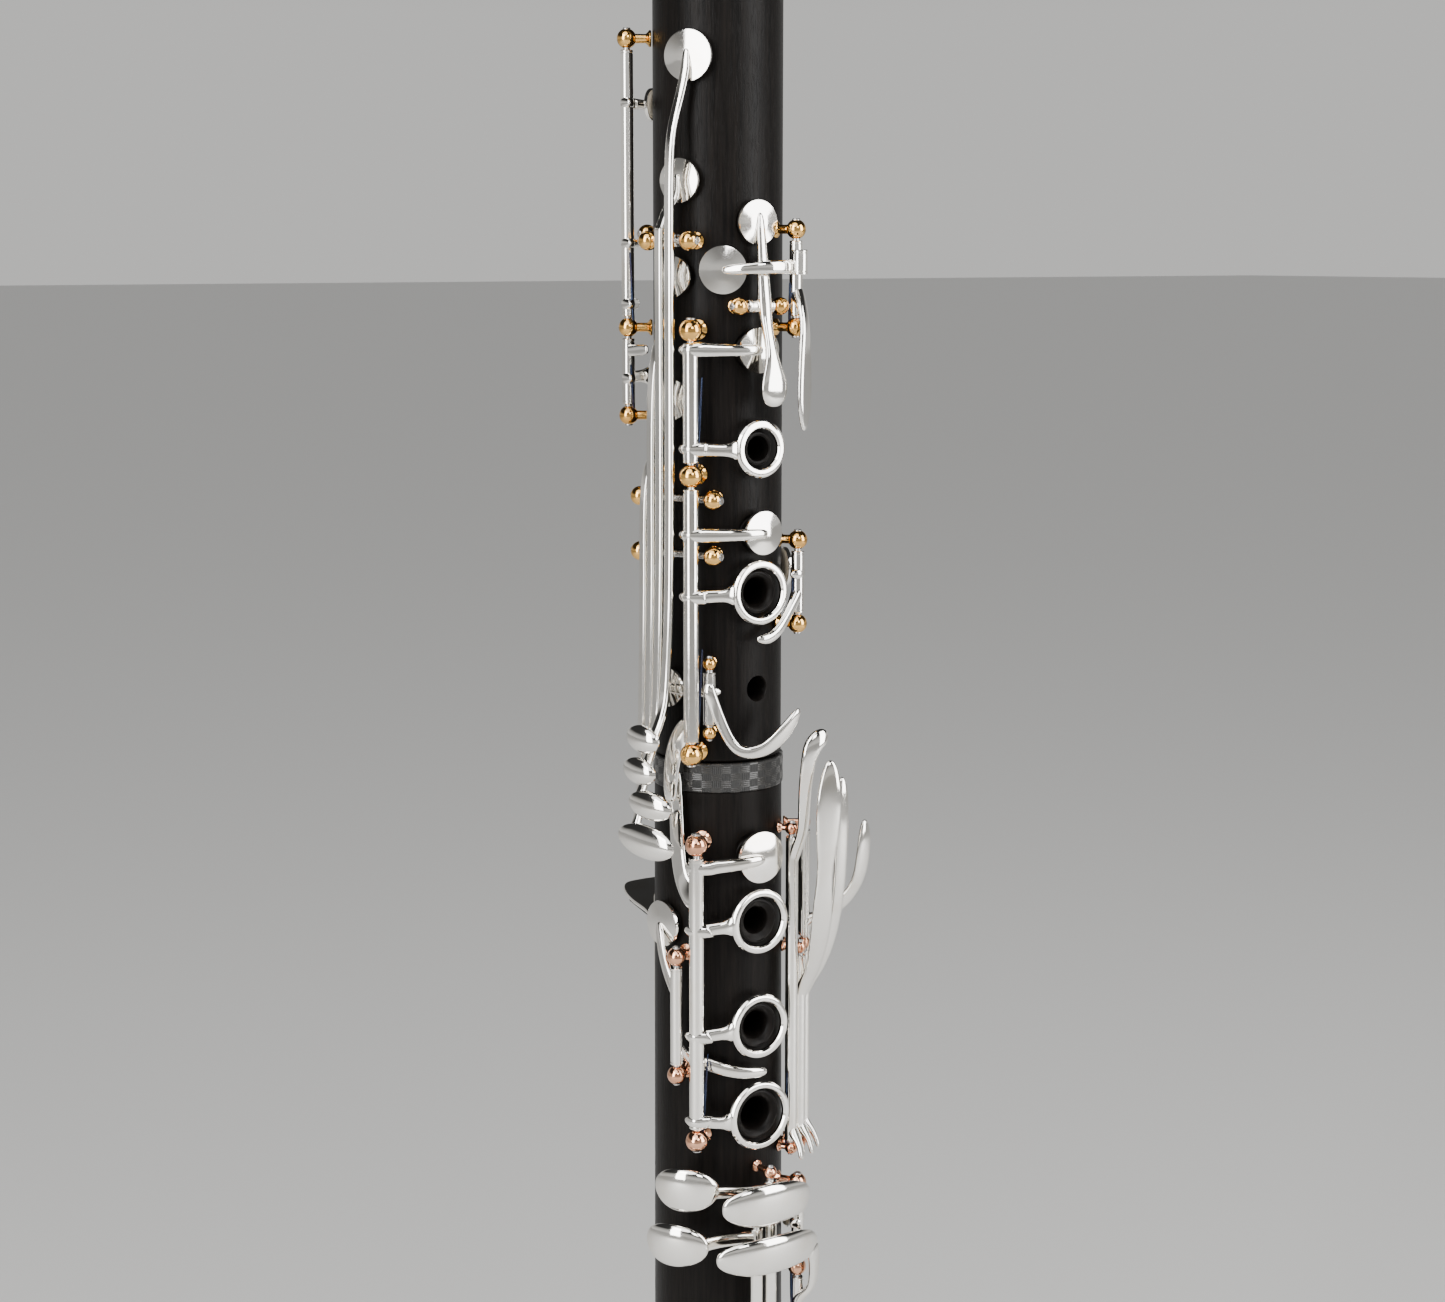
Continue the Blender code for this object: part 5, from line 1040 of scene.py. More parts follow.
key("thumb_ring_key", [
    upright_tube(BACK_HINGE, BACK_POSTS[2], BACK_POSTS[1], BACK_MIDDLE, SMALL_BALL, SLIM_TUBE),
    arm(BACK_HINGE, 83.0, swept((BACK_HINGE, 83.0, HINGE_LIFT), beside(-180.0, 83.0, RING_LIFT + 0.7, 8.4),
                                (1.4, 1.3), 0.7)
        + [(*beside(-180.0, 83.0, RING_LIFT + 0.65, 6.3), 2.8, 0.5)], tube=SLIM_TUBE),
    finger_ring(180.0, 83.0, 5.2, 7.0),
    forged([(BACK_HINGE - 3, 88.9, 5.4, 0.8, 0.8), (BACK_HINGE, 89.0, 5.4, 1.3, 1.5),
            (-112, 89.1, 4.4, 1.2, 0.7), (-106, 89.2, 3.7, 1.2, 0.6), (-99, 89.4, 3.3, 1.1, 0.55),
            (-94, 89.5, 3.2, 0.8, 0.45)], 0.4),
])
bush = turned([(2.3, -4.5), (2.9, -4.5), (2.9, 0.35), (4.0, 0.35), (4.3, 0.6), (4.3, 1.5), (4.0, 1.9),
               (2.8, 1.9), (2.3, 1.5), (2.3, -4.5)], 56, place=seat(180.0, 83.0))
settle(bush, "thumb_bush_silver", silver_plate, "body", "thumb_bush")
pad = (180.0, 141.0, 4.0)
key("register_key", [
    cross_tube(register_ends, 0.5, 8.0),
    forged([(180, 143.5, CUP_TOP - 0.3, 0.5, 0.35), (180, 141.0, CUP_TOP, 0.9, 0.5),
            (180, 136, CUP_TOP + 0.6, 1.1, 0.7), (180, 130, CUP_TOP + 1.2, 1.2, 0.8),
            (180, 120, 4.3, 1.5, 0.9), (180, 114, 4.6, 2.0, 1.6), (180, 109, 5.0, 1.6, 0.9),
            (180, 104, 5.3, 2.0, 0.85), (180, 99, 5.4, 3.5, 0.85), (180, 95, 5.3, 3.7, 0.85),
            (180, 92.4, 5.2, 2.4, 0.7), (180, 91.2, 5.2, 0.9, 0.4)], 0.55),
    pad_cup(*pad),
], [pad])


# Lower ring key: three finger rings and the pad above them on the thick tube, and the bridge plate that
# meets the upper joint's. The lower sliver passes under that tube from its own short hinge.
pad = (0.7, -20.9, 5.75, OPEN_PAD)
shapes = [
    upright_tube(LOWER_HINGE, LOWER_POSTS[1], LOWER_POSTS[0], sum(LOWER_POSTS) / 2),
    arm(LOWER_HINGE, -22.1, swept((LOWER_HINGE, -22.1, HINGE_LIFT), (-2.5, -21.1, OPEN_TOP + 0.3), (1.6, 1.2),
                                  0.8, 4)
        + [(1.2, -20.9, OPEN_TOP, 0.4, 0.35)]),
    pad_cup(*pad),
    forged([(-46.0, -31.0, 5.4, 1.6, 0.9), (-50.5, -29.0, 4.8, 2.2, 0.8), (-56, -27.5, 3.5, 2.0, 0.5),
            (-61, -25.0, 2.9, 1.8, 0.45), (-65, -20.0, 2.4, 1.7, 0.45), (-67, -12.0, 2.0, 1.7, 0.45),
            (-68, -5.5, 2.0, 1.6, 0.42), (-68, -1.3, 2.0, 1.3, 0.4)], 0.35),
]
for height, inner, outer in ((-35.4, 5.6, 7.3), (-59.3, 5.6, 7.3), (-79.9, 6.2, 7.8)):
    start = max(height - 0.8, -84.0 + BALL + CLEARANCE + 1.7)
    reach = beside(-0.5, height, RING_LIFT + 0.7, -outer - 1.4)
    shapes.append(arm(LOWER_HINGE, start, swept((LOWER_HINGE, start, HINGE_LIFT), reach, (1.45, 1.35), 0.75)
                      + [(*beside(-0.5, height, RING_LIFT + 0.65, 0.75 - outer), 3.0, 0.5)]))
    shapes.append(finger_ring(-0.5, height, inner, outer))
key("lower_ring_key", shapes, [pad])
pad = (-84.0, -37.0, 5.15)
key("lower_sliver_key", [
    upright_tube(LOWER_SLIVER_HINGE, LOWER_SLIVER_POSTS[1], LOWER_SLIVER_POSTS[0],
                 sum(LOWER_SLIVER_POSTS) / 2, SMALL_BALL, SLIM_TUBE, LOWER_SLIVER_LIFT),
    forged([(-62.5, -60.5, 4.9, 0.9, 0.9), (-61, -63.0, 4.8, 1.3, 1.2), (-56, -66.0, 3.0, 1.3, 0.65),
            (-50, -66.9, 2.3, 1.3, 0.6), (-42, -67.2, 2.2, 1.4, 0.6), (-34, -67.9, 2.6, 1.4, 0.7),
            (-24, -68.9, 2.9, 1.4, 0.7), (-12, -69.6, 3.0, 1.3, 0.7), (-2, -69.8, 3.0, 1.2, 0.65),
            (6, -69.9, 3.0, 0.7, 0.45)], 0.5),
    forged([(-59.5, -53.0, 5.0, 0.9, 0.9), (-61, -50.5, 5.0, 1.3, 1.3), (-66, -48.4, 4.8, 1.15, 0.7),
            (-72, -45.2, 4.2, 1.1, 0.7), (-78, -40.5, 3.6, 1.1, 0.7), (-83, -37.4, CUP_TOP, 0.9, 0.5),
            (-85, -36.6, CUP_TOP - 0.2, 0.4, 0.3)], 0.5),
    pad_cup(*pad),
], [pad])


# Right little finger's keys. Four thick leaves with rolled edges stand high over their tubes; black
# cork keeps the two on the left from clicking together.
pad = (-40.0, E_PAD, 8.6, OPEN_PAD)
key("low_e_key", [
    upright_tube(E_HINGE, E_POSTS[1], E_POSTS[0], sum(E_POSTS) / 2, LITTLE_BALL, SLIM_TUBE),
    forged([(-4.5, -107.0, 5.6, 0.8, 0.9), (-8, -107.0, 5.6, 1.5, 1.5), (-14, -107.0, 5.3, 1.4, 0.8),
            (-22, -107.0, 5.2, 1.4, 0.8), (-33, -107.0, 6.0, 1.5, 0.8), (-40, -107.0, 8.0, 1.6, 0.8),
            (-44, -107.0, 9.8, 1.8, 0.8)]),
    forged([(-37.8, -107.0, 9.5, 1.0, 0.6), (-40, -107.0, 9.7, 2.6, 0.95), (-45, -107.0, 10.1, 4.0, 1.2),
            (-52, -107.0, 10.4, 4.7, 1.35), (-60, -107.0, 10.4, 4.7, 1.35), (-67, -107.0, 10.0, 4.0, 1.2),
            (-72, -107.0, 9.3, 2.6, 0.9), (-74.5, -107.0, 8.9, 1.0, 0.5)], 0.85, 12),
    arm(-8.0, E_PAD + 1, swept((-8.0, E_PAD + 1, HINGE_LIFT), (-36, E_PAD, OPEN_TOP + 0.3),
                               (1.6, 1.2), 0.9, 4)
        + [(-41, E_PAD, OPEN_TOP, 0.5, 0.4)], tube=SLIM_TUBE),
    pad_cup(*pad),
], [pad])
pad = (62.0, F_SHARP_PAD, 6.0)
key("f_sharp_key", [
    upright_tube(F_SHARP_HINGE, F_SHARP_POSTS[1], F_SHARP_POSTS[0], sum(F_SHARP_POSTS) / 2, LITTLE_BALL,
                 SLIM_TUBE),
    forged([(6, -96.5, 5.5, 0.8, 0.9), (2.5, -96.5, 5.6, 1.4, 1.5), (-4, -96.5, 5.2, 1.3, 0.75),
            (-14, -96.5, 5.0, 1.2, 0.7), (-26, -96.0, 5.0, 1.3, 0.7), (-35, -95.6, 6.4, 1.4, 0.75),
            (-41, -95.2, 8.4, 1.5, 0.8)]),
    forged([(-32.5, -94.5, 7.2, 1.1, 0.5), (-35, -94.5, 7.7, 2.6, 0.8), (-40, -94.5, 8.4, 4.0, 1.1),
            (-47, -94.5, 9.0, 4.8, 1.25), (-56, -94.5, 9.1, 4.8, 1.25), (-63, -94.5, 8.8, 4.0, 1.1),
            (-68, -94.5, 8.3, 2.5, 0.85), (-70.5, -94.5, 7.9, 1.0, 0.5)], 0.85, 12),
    arm(2.5, F_SHARP_PAD, swept((2.5, F_SHARP_PAD, HINGE_LIFT), (58, F_SHARP_PAD, CUP_TOP + 0.3), (1.4, 1.2),
                                0.8, 6, 4.6)
        + [(63, F_SHARP_PAD, CUP_TOP - 0.1, 0.5, 0.4)], tube=SLIM_TUBE),
    pad_cup(*pad),
], [pad], [cork_stop(-50, -96.5, 7.0, 1.7, 0.9)])
RIGHT_MIDDLE = (RIGHT_POSTS[0] + RIGHT_POSTS[2]) / 2
pad = (68.0, -107.0, 6.0)
key("a_flat_key", [
    upright_tube(RIGHT_HINGE, RIGHT_POSTS[1], RIGHT_POSTS[0], RIGHT_MIDDLE, SMALL_BALL, SLIM_TUBE),
    forged([(31.5, -104.5, 5.4, 1.0, 1.0), (30, -102.5, 5.9, 1.8, 1.3), (28.6, -101.6, 7.4, 2.0, 0.9),
            (25, -100.3, 8.8, 2.7, 0.95), (18, -98.9, 9.5, 3.6, 1.0), (8, -98.1, 9.8, 4.3, 1.1),
            (-2, -98.0, 10.0, 4.6, 1.2), (-12, -98.0, 10.3, 4.6, 1.2), (-21, -98.0, 10.4, 4.0, 1.1),
            (-28, -98.0, 10.4, 2.6, 0.85), (-31, -98.0, 10.3, 1.2, 0.5)], 0.8, 12),
    arm(RIGHT_HINGE, -107.0, swept((RIGHT_HINGE, -107.0, HINGE_LIFT), (64, -107.0, CUP_TOP + 0.2),
                                   (1.4, 1.1), 0.8, 5)
        + [(69, -107.0, CUP_TOP - 0.1, 0.5, 0.4)], tube=SLIM_TUBE),
    pad_cup(*pad),
], [pad])
pad = (-40.0, F_PAD, 8.2, OPEN_PAD)
key("low_f_key", [
    upright_tube(RIGHT_HINGE, RIGHT_POSTS[2], RIGHT_POSTS[1], RIGHT_MIDDLE, SMALL_BALL, SLIM_TUBE),
    forged([(30, -127.5, 5.4, 1.2, 1.1), (30, -125.0, 5.8, 1.8, 1.3), (30.3, -123.2, 8.0, 1.8, 0.9),
            (30.5, -121.5, 9.4, 1.7, 0.8), (29.5, -117.0, 10.0, 1.8, 0.8), (28.2, -113.5, 10.1, 2.0, 0.8),
            (26.5, -111.0, 10.2, 2.2, 0.8)], 0.45),
    forged([(32, -111.6, 9.7, 1.1, 0.6), (29, -111.2, 9.8, 2.3, 0.85), (23, -110.4, 10.0, 3.3, 1.0),
            (12, -109.5, 10.6, 3.9, 1.1), (0, -109.3, 11.1, 4.1, 1.15), (-12, -109.3, 11.4, 4.1, 1.15),
            (-22, -109.3, 11.6, 3.8, 1.1), (-30, -109.3, 11.6, 2.6, 0.85),
            (-34, -109.3, 11.4, 1.1, 0.5)], 0.8, 12),
    arm(RIGHT_HINGE, F_PAD + 1, swept((RIGHT_HINGE, F_PAD + 1, HINGE_LIFT + 0.4),
                                      (-36, F_PAD, OPEN_TOP + 0.3), (1.7, 1.3), 0.9,
                                      7, 5.4) + [(-41, F_PAD, OPEN_TOP, 0.5, 0.4)], tube=SLIM_TUBE),
    pad_cup(*pad),
], [pad])


# Left little finger's levers. Long tubes run down the right side from four touches that fan out above
# the joint line to small claws that work the right hand's keys.
TOUCH_FACING = -45.0


def lever_tube(i, low, high):
    """A left lever's tube between two posts on the rod of the same number."""
    middle = (LEVER_FOOT + (LEVER_MIDDLE if i == 1 else LEVER_TOP)) / 2
    return upright_tube(LEVER_ANGLES[i], low, high, middle, LITTLE_BALL, SLIM_TUBE, LEVER_LIFTS[i])


def lever_claw(i):
    """The flat foot at the end of a left lever's tube."""
    angle, lift = LEVER_ANGLES[i], LEVER_LIFTS[i]
    foot = LEVER_FOOT + LITTLE_BALL + 2.2
    return forged([(angle, foot + 1.6, lift, 0.9, 0.9), (angle, foot, lift + 0.3, 1.5, 1.2),
                   (angle - 1.2, foot - 1.6, lift + 1.9, 1.4, 0.7),
                   (angle - 3, foot - 3.5, lift + 3.0, 1.3, 0.6),
                   (angle - 6, foot - 5.5, lift + 3.6, 0.9, 0.5)], 0.4)


key("left_f_sharp_lever", [
    lever_tube(0, LEVER_FOOT, LEVER_TOP),
    forged([(33, -24.5, 3.7, 0.9, 0.9), (33, -22.0, 4.0, 1.5, 1.3), (31.6, -19.0, 5.6, 1.3, 0.8),
            (29.5, -15.5, 7.1, 1.3, 0.8), (25.5, -9.0, 8.0, 1.4, 0.8), (23.6, -4.0, 8.8, 1.5, 0.85),
            (23.4, 0.5, 9.7, 1.6, 0.95), (24.4, 3.4, 10.3, 2.1, 1.0), (27.4, 5.2, 11.2, 2.2, 1.0),
            (30.5, 5.8, 11.9, 1.8, 0.9), (32.2, 5.8, 12.3, 0.9, 0.6)], 0.6, 8,
            TOUCH_FACING),
    lever_claw(0),
])
key("left_e_lever", [
    lever_tube(1, LEVER_FOOT, LEVER_MIDDLE),
    forged([(44, -56.5, 4.4, 1.0, 1.0), (44, -54.0, 4.8, 1.6, 1.3), (42, -51.4, 6.2, 1.6, 0.9),
            (39.5, -48.6, 7.8, 1.8, 0.85), (35, -43.8, 9.4, 2.1, 0.8), (31.8, -38.5, 10.8, 2.35, 0.8),
            (29.5, -33.0, 11.8, 2.3, 0.8), (28.3, -28.0, 12.3, 1.9, 0.8), (27.9, -24.0, 12.7, 1.7, 0.8),
            (27.3, -19.5, 13.2, 2.2, 0.85), (27, -13.5, 13.6, 2.8, 0.85), (27, -8.0, 13.9, 2.9, 0.85),
            (27.4, -3.5, 14.0, 2.3, 0.8), (27.8, -0.6, 14.0, 1.4, 0.6), (28, 0.7, 14.0, 0.6, 0.4)], 0.6, 8,
            TOUCH_FACING),
    lever_claw(1),
])
key("left_f_lever", [
    lever_tube(2, LEVER_FOOT, LEVER_MIDDLE),
    forged([(55, -56.5, 5.0, 1.0, 1.0), (55, -54.0, 5.4, 1.6, 1.3), (53.6, -51.4, 7.2, 1.3, 0.9),
            (51.8, -48.6, 8.9, 1.3, 0.85), (48.8, -43.0, 11.0, 1.4, 0.8), (45.8, -36.0, 12.5, 1.45, 0.8),
            (43.6, -29.5, 13.4, 1.5, 0.8), (42.3, -21.0, 14.0, 1.55, 0.8), (42, -13.0, 14.2, 1.65, 0.8),
            (42, -7.5, 14.2, 1.4, 0.7), (42, -4.2, 14.2, 0.6, 0.4)], 0.55, 8,
            TOUCH_FACING),
    lever_claw(2),
])
key("left_a_flat_lever", [
    lever_tube(2, LEVER_MIDDLE, LEVER_TOP),
    forged([(55, -41.0, 5.0, 1.0, 1.0), (55, -39.0, 5.4, 1.6, 1.3), (56, -38.2, 8.0, 1.6, 0.9),
            (56.5, -37.0, 10.5, 1.7, 0.85), (56.5, -34.8, 13.6, 1.8, 0.8), (56.2, -32.0, 16.0, 1.6, 0.8),
            (55.8, -28.6, 17.5, 1.8, 0.8), (55.4, -24.0, 18.3, 2.05, 0.8), (55, -19.5, 18.6, 1.8, 0.75),
            (55, -16.8, 18.6, 1.2, 0.55), (55, -15.4, 18.6, 0.5, 0.35)], 0.6, 8,
            TOUCH_FACING),
    forged([(54, -38.6, 5.2, 0.8, 0.8), (56, -38.8, 5.5, 1.3, 1.1), (60, -40.3, 5.9, 1.1, 0.7),
            (64.5, -43.0, 6.0, 1.0, 0.7), (67, -46.5, 6.0, 1.0, 0.7), (67, -52.0, 5.9, 1.0, 0.7),
            (67, -70.0, 5.6, 1.0, 0.7), (67, -86.0, 5.6, 1.0, 0.7), (67, -91.0, 5.6, 0.8, 0.6)], 0.4),
])


# Tenon corks. A strip of greased cork is glued in each tenon's groove and sanded to a gentle crown.
for name, shoulder, away, body in (
    ("lower_tenon_cork", foot, -1, "body"), ("upper_foot_cork", upper_foot, -1, "body"),
    ("upper_top_cork", upper_top, 1, "body"), ("mouthpiece_cork", barrel_high + 0.3, -1, "mouthpiece_set"),
):
    low, high = sorted((shoulder + away * 3.3, shoulder + away * (TENON - 3.3)))
    inner, outer = TENON_RADIUS - 0.15, TENON_RADIUS + 0.75
    sleeve = turned([(inner, low), (outer - 0.25, low), (outer - 0.05, low + 0.5), (outer, (low + high) / 2),
                     (outer - 0.05, high - 0.5), (outer - 0.25, high), (inner, high), (inner, low)], 72)
    settle(sleeve, name + "_sleeve", cork_material, body, name)


# Mouthpiece. It is turned from black hard rubber, bored, then planed flat behind for the reed and to a
# long beak in front; a window under the reed opens into the chamber. Polished all over.
ebonite, ebonite_shader = new_material("black_hard_rubber", coat=0.35, coat_roughness=0.08)
finish_from(ebonite, ebonite_shader, speckled, {
    "Ground": (0.010, 0.010, 0.011, 1.0), "Fleck": (0.022, 0.021, 0.020, 1.0), "Fineness": 260.0,
    "Flecks": 0.45,
    "Depth": 0.03, "Roughest": 0.12})
MOUTH_FOOT = barrel_high + 0.3
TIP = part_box("mouthpiece")[1].z * 1000
MOUTH_RADIUS = 12.8
TABLE = 8.6


def prism(outline, depth):
    """A straight-sided solid from a flat outline and the way it is extruded."""
    bpy.ops.object.select_all(action="DESELECT")
    bpy.ops.mesh.primitive_plane_add(size=1.0)
    bpy.ops.object.mode_set(mode="EDIT")
    bpy.ops.mesh.merge(type="CENTER")
    bpy.ops.transform.translate(value=outline[0])
    for near, far in zip(outline, outline[1:]):
        step = tuple(Vector(far) - Vector(near))
        bpy.ops.mesh.extrude_vertices_move(TRANSFORM_OT_translate={"value": step})
    bpy.ops.mesh.select_all(action="SELECT")
    bpy.ops.mesh.edge_face_add()
    bpy.ops.mesh.extrude_region_move(TRANSFORM_OT_translate={"value": depth})
    bpy.ops.mesh.select_all(action="SELECT")
    bpy.ops.mesh.normals_make_consistent(inside=False)
    bpy.ops.object.mode_set(mode="OBJECT")
    return bpy.context.object


body_profile = [(BORE, MOUTH_FOOT - TENON)] + tenon_profile(MOUTH_FOOT, -1)[::-1]
body_profile += [(MOUTH_RADIUS + 0.4, MOUTH_FOOT), (MOUTH_RADIUS + 0.8, MOUTH_FOOT + 0.4),
                 (MOUTH_RADIUS + 0.8, MOUTH_FOOT + 2.6), (MOUTH_RADIUS + 0.4, MOUTH_FOOT + 3.3),
                 (MOUTH_RADIUS, MOUTH_FOOT + 4.0), (MOUTH_RADIUS - 0.5, TIP - 52),
                 (MOUTH_RADIUS - 1.2, TIP - 36), (MOUTH_RADIUS - 1.8, TIP), (0, TIP), (0, TIP - 30),
                 (BORE * 0.6, TIP - 33), (BORE * 0.9, TIP - 44), (BORE, MOUTH_FOOT - TENON)]
reed_foot = MOUTH_FOOT - 0.3 + 5.0
flat = prism([(-17, TABLE, reed_foot - 1), (-17, 17, reed_foot - 1), (-17, 17, TIP + 5),
              (-17, TABLE, TIP + 5)], (34, 0, 0))
beak_line = [(-17, -17, TIP - 37.5), (-17, -11.75, TIP - 37.0), (-17, -10.6, TIP - 34.3),
             (-17, -6.6, TIP - 27), (-17, -1.2, TIP - 17), (-17, 3.8, TIP - 7.5), (-17, 6.9, TIP - 1.6),
             (-17, 7.6, TIP), (-17, 7.6, TIP + 5), (-17, -17, TIP + 5)]
beak = prism(beak_line, (34, 0, 0))
cheeks = [prism([(side * 12, -17, TIP - 40), (side * 10.9, -17, TIP - 24), (side * 9.2, -17, TIP - 12),
                 (side * 6.6, -17, TIP), (side * 6.6, -17, TIP + 4), (side * 20, -17, TIP + 4),
                 (side * 20, -17, TIP - 40)],
                 (0, 34, 0))
          for side in (-1, 1)]
window = prism([(-4.6, TABLE + 1, TIP - 38), (-4.6, TABLE + 1, TIP - 2.5), (-4.6, TABLE - 1.2, TIP - 2.5),
                (-4.6, -3, TIP - 38)], (9.2, 0, 0))
mouth = turned(body_profile, 128)
for cutter in (flat, beak, cheeks[0], cheeks[1], window):
    cut(mouth, [cutter])
for height in (TIP - 49.0, TIP - 51.0):
    cut(mouth, [turned([(MOUTH_RADIUS - 0.7, height), (17, height - 0.35), (17, height + 0.35),
                        (MOUTH_RADIUS - 0.7, height)], 96)])
settle(mouth, "mouthpiece_body", ebonite, "mouthpiece_set", "mouthpiece", 28.0)


# Reed. A slip of cane, flat on the table, its bark left on the butt and scraped away to a thin tip.
cane, cane_shader = new_material("dry_cane")
finish_from(cane, cane_shader, straight_grain, {
    "Dark": (0.50, 0.36, 0.15, 1.0), "Light": (0.80, 0.66, 0.38, 1.0), "Fineness": 2300.0, "Depth": 0.3,
    "Smoothest": 0.42, "Roughest": 0.62})
near = TABLE + CLEARANCE
reed_levels = ((reed_foot + 0.1, 5.75, 2.55), (reed_foot + 0.6, 5.8, 2.6), (reed_foot + 32.0, 6.1, 2.5),
               (reed_foot + 33.2, 6.1, 2.25), (reed_foot + 40, 6.2, 1.75), (reed_foot + 46, 6.3, 1.4),
               (reed_foot + 56, 6.35, 0.8), (TIP - 3, 6.35, 0.38), (TIP - 0.6, 5.6, 0.3))


def reed_point(level, x, y):
    height, width, thickness = reed_levels[level]
    rise = max(y, 0.0) ** 0.6 * 0.92 + 0.04 if y > -0.05 else 0.0
    return Vector((x * width, near + thickness * rise, height))


blade = drawn(len(reed_levels), 24, reed_point, 0)
settle(blade, "reed_blade", cane, "mouthpiece_set", "reed", 50.0)


# Ligature. A silver-plated band wraps mouthpiece and reed; two pairs of lugs behind take thumbscrews.
LIGATURE_LOW = MOUTH_FOOT - 0.3 + 9.0
LIGATURE_HIGH = LIGATURE_LOW + 27.0
SCREW_OUT = MOUTH_RADIUS + 5.2
inner = MOUTH_RADIUS + CLEARANCE
wall = [(inner, LIGATURE_LOW + 0.2), (inner + 0.2, LIGATURE_LOW), (inner + 0.8, LIGATURE_LOW),
        (inner + 1.0, LIGATURE_LOW + 0.5), (inner + 0.75, LIGATURE_LOW + 1.1),
        (inner + 0.75, LIGATURE_HIGH - 1.1), (inner + 1.0, LIGATURE_HIGH - 0.5), (inner + 0.8, LIGATURE_HIGH),
        (inner + 0.2, LIGATURE_HIGH), (inner, LIGATURE_HIGH - 0.2), (inner, LIGATURE_LOW + 0.2)]
shell = turned(wall, 128)
slots = []
for angle in (-34.0, -11.5, 11.5, 34.0):
    bpy.ops.object.select_all(action="DESELECT")
    slot_place = outward(angle) * inner + Vector((0, 0, (LIGATURE_LOW + LIGATURE_HIGH) / 2))
    bpy.ops.mesh.primitive_cube_add(size=1.0, location=slot_place, rotation=(0, 0, radians(angle)),
                                    scale=(2.2, 6.0, 15.0))
    slots.append(bpy.context.object)
cut(shell, slots)
screw_heights = (LIGATURE_LOW + 6.0, LIGATURE_HIGH - 6.0)
lugs = []
for height in screw_heights:
    for side in (-1, 1):
        inside = side * 2.6 if side > 0 else -5.2
        lug = prism([(inside, inner + 0.2, height - 2.9), (inside, SCREW_OUT - 1.0, height - 2.6),
                     (inside, SCREW_OUT + 1.4, height - 1.9), (inside, SCREW_OUT + 2.4, height - 0.8),
                     (inside, SCREW_OUT + 2.4, height + 0.8), (inside, SCREW_OUT + 1.4, height + 1.9),
                     (inside, SCREW_OUT - 1.0, height + 2.6), (inside, inner + 0.2, height + 2.9)],
                     (2.6, 0, 0))
        hole = turned([(0, -8), (1.45, -8), (1.45, 8), (0, 8)], 24,
                      place=Matrix.Translation((0, SCREW_OUT, height)) @ Matrix.Rotation(pi / 2, 4, "Y"))
        lugs.append(cut(lug, [hole]))
settle(joined([shell] + lugs), "ligature_band_silver", silver_plate, "mouthpiece_set", "ligature_band",
       30.0)
for name, height in zip(("ligature_screw_lower", "ligature_screw_upper"), screw_heights):
    along = Matrix.Translation((0, SCREW_OUT, height)) @ Matrix.Rotation(pi / 2, 4, "Y")
    thread = [(0, -6.5), (0.9, -6.5)]
    thread += [(1.15 if i % 2 else 0.98, -6.2 + i * 0.22) for i in range(18)]
    thread += [(1.2, -2.0), (1.2, 5.6), (2.0, 5.6), (3.3, 6.5), (3.6, 6.9), (3.6, 9.0), (3.3, 9.4),
               (2.8, 9.8), (1.5, 9.9), (0, 9.9)]
    stem = turned(thread, 48, place=along)
    flutes = []
    for turn in range(12):
        spot = along @ Matrix.Rotation(radians(turn * 30), 4, "Z") @ Matrix.Translation((3.95, 0, 5.0))
        flutes.append(turned([(0, 0), (0.6, 0), (0.6, 6), (0, 6)], 12, place=spot))
    settle(cut(stem, flutes), name + "_silver", silver_plate, name, name, TURNED_CREASE)


# Thumb rest. A hooked plate is screwed to the back of the lower joint for the right thumb, which carries
# the weight; the hook's lip is lined with cork.
rest = seat(180.0, -48.0, CLEARANCE)
plate = prism([(-5.5, -17, 0.2), (5.5, -17, 0.2), (7, -14.5, 0.2), (7, 12, 0.2), (5.5, 15.5, 0.2),
               (2.5, 17, 0.2), (-2.5, 17, 0.2), (-5.5, 15.5, 0.2), (-7, 12, 0.2),
               (-7, -14.5, 0.2)], (0, 0, 1.9))
edges = plate.modifiers.new("broken_edges", "BEVEL")
edges.width = 0.45
edges.segments = 3
bpy.ops.object.modifier_apply(modifier=edges.name)
hook_levels = ((7.6, 3.0, 1.6, 0.8), (8.3, 7.6, 1.5, 1.6), (8.3, 8.6, 1.35, 4.0), (8.5, 9.2, 1.3, 9.0),
               (8.0, 10.3, 1.2, 13.5), (6.8, 11.0, 1.1, 16.2), (5.2, 11.3, 0.8, 17.3))


def hook_point(level, x, y):
    width, up, thickness, out = hook_levels[level]
    wide = abs(x) ** 0.45 * (1 if x > 0 else -1)
    tall = abs(y) ** 0.5 * (1 if y > 0 else -1)
    return Vector((width * wide, up + thickness * tall, out))


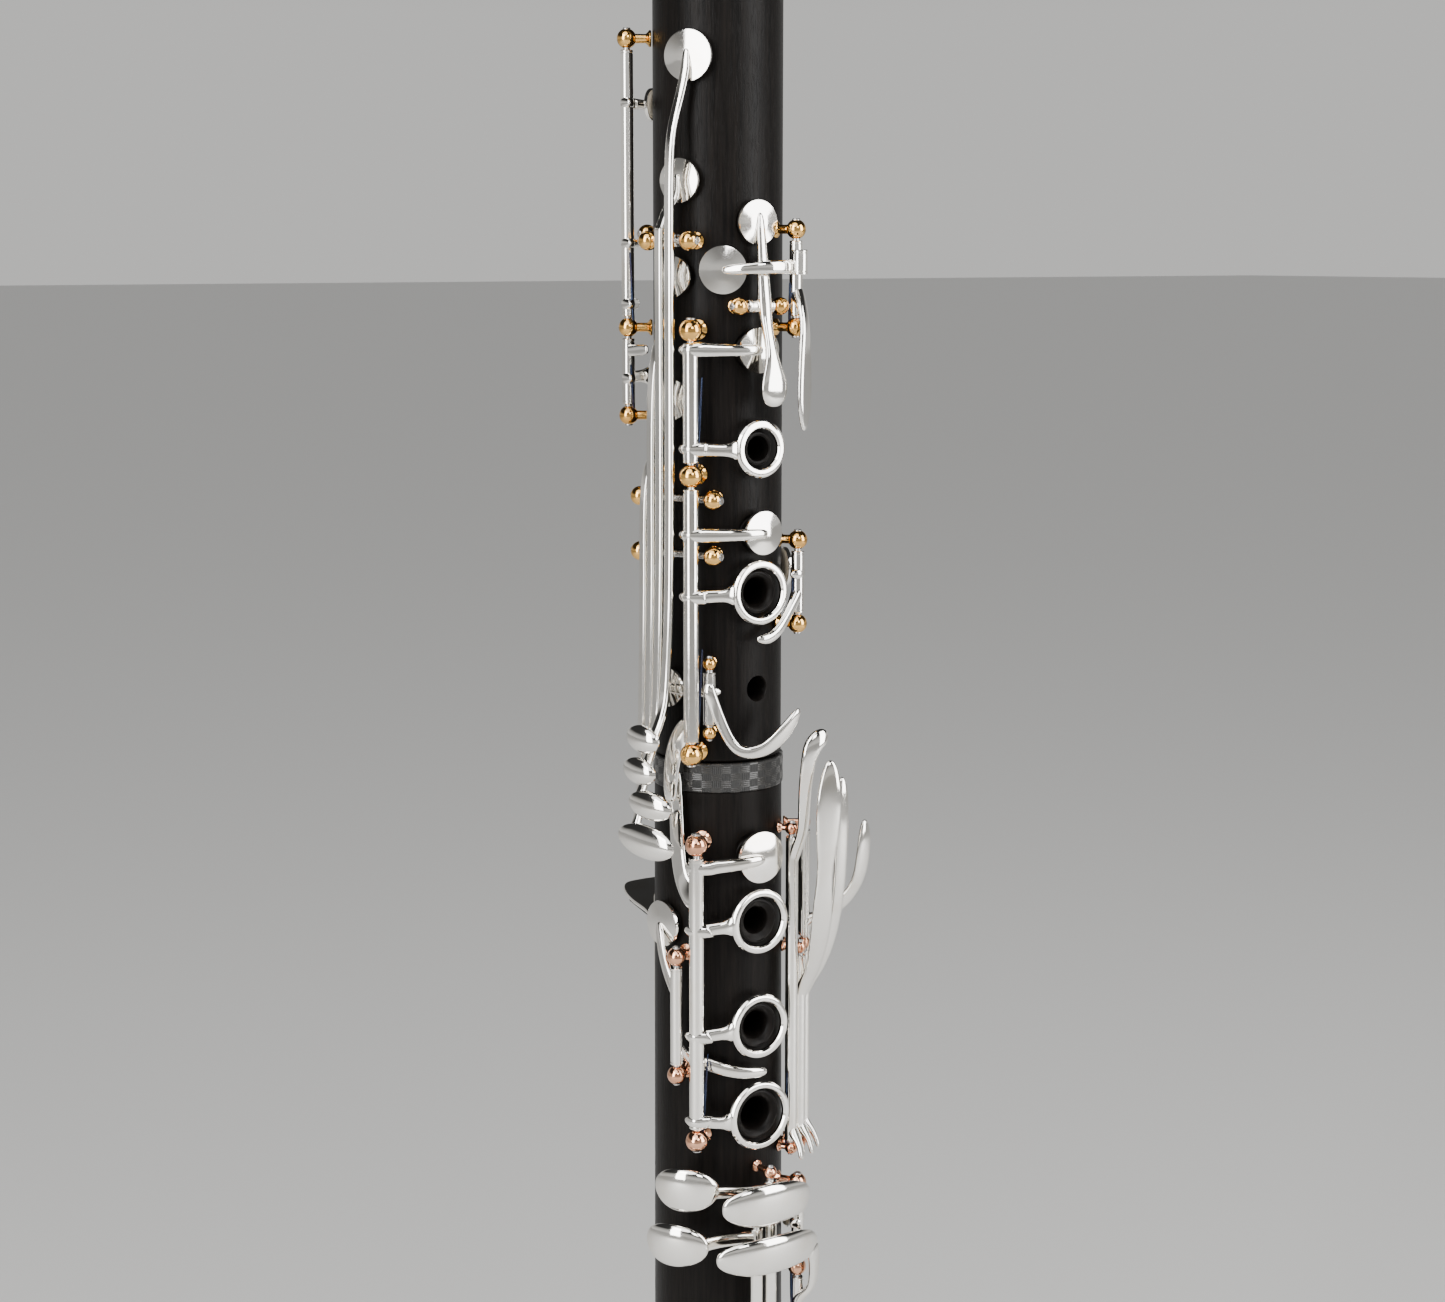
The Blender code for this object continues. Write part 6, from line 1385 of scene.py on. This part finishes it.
hook = drawn(len(hook_levels), 12, hook_point)
lining = prism([(-6.8, 6.1, 3.0), (6.8, 6.1, 3.0), (6.4, 8.0, 14.0), (-6.4, 8.0, 14.0)], (0, 1.3, 0))
soft_edges = lining.modifiers.new("soft_edges", "BEVEL")
soft_edges.width = 0.35
soft_edges.segments = 2
bpy.ops.object.modifier_apply(modifier=soft_edges.name)
for piece in (plate, hook, lining):
    piece.matrix_world = rest
    bpy.ops.object.select_all(action="DESELECT")
    piece.select_set(True)
    bpy.context.view_layer.objects.active = piece
    bpy.ops.object.transform_apply(location=True, rotation=True, scale=True)
settle(joined([plate, hook]), "thumb_rest_plate", silver_plate, "body", "thumb_rest",
       TURNED_CREASE)
settle(lining, "thumb_rest_cork", bumper_material, "body")
rest_screws = [copied(screw_head, rest @ Matrix.Translation((0, up, 2.0)) @ Matrix.Diagonal((1.9, 1.9, 1, 1)))
               for up in (-11.5, -2.0)]
settle(joined(rest_screws), "thumb_rest_screws", steel, "body")
bpy.data.objects.remove(screw_head, do_unlink=True)


# Needle springs. Blued steel needles are pressed through the posts and lie beside the tubes they turn,
# with their points resting on little hooks soldered to the keys.
needles = []
for angle, start, end, lift, shift in (
    (-50.0, 66.5, 84.0, HINGE_LIFT, 7.0), (-50.0, 6.5, 26.0, HINGE_LIFT, 7.0),
    (25.5, 96.8, 103.6, HINGE_LIFT, -5.4), (33.0, 32.5, 40.5, 5.0, -5.4),
    (-118.0, 96.5, 110.0, HINGE_LIFT, 5.4), (-118.0, 77.5, 86.0, HINGE_LIFT, 5.4),
    (-46.5, -81.0, -64.0, HINGE_LIFT, 7.0), (-61.0, -67.0, -54.0, 5.0, -5.4),
    (30.0, -120.0, -128.5, HINGE_LIFT, -5.4), (33.0, -87.5, -72.0, 3.6, -4.6), (55.0, -46.5, -60.0, 5.0, 4.4),
    (2.5, F_SHARP_POSTS[1] + 2, F_SHARP_POSTS[1] + 18, HINGE_LIFT, -4.8),
):
    first, last = at(angle + shift * 0.5, start, lift - 1.0), at(angle + shift, end, lift - 0.4)
    length = (last - first).length
    needles.append(turned([(0, -1.5), (0.3, -1.5), (0.3, length * 0.4), (0.16, length), (0, length)], 12,
                          place=between(first, last)))
settle(joined(needles), "needle_springs", blued_steel, "body")
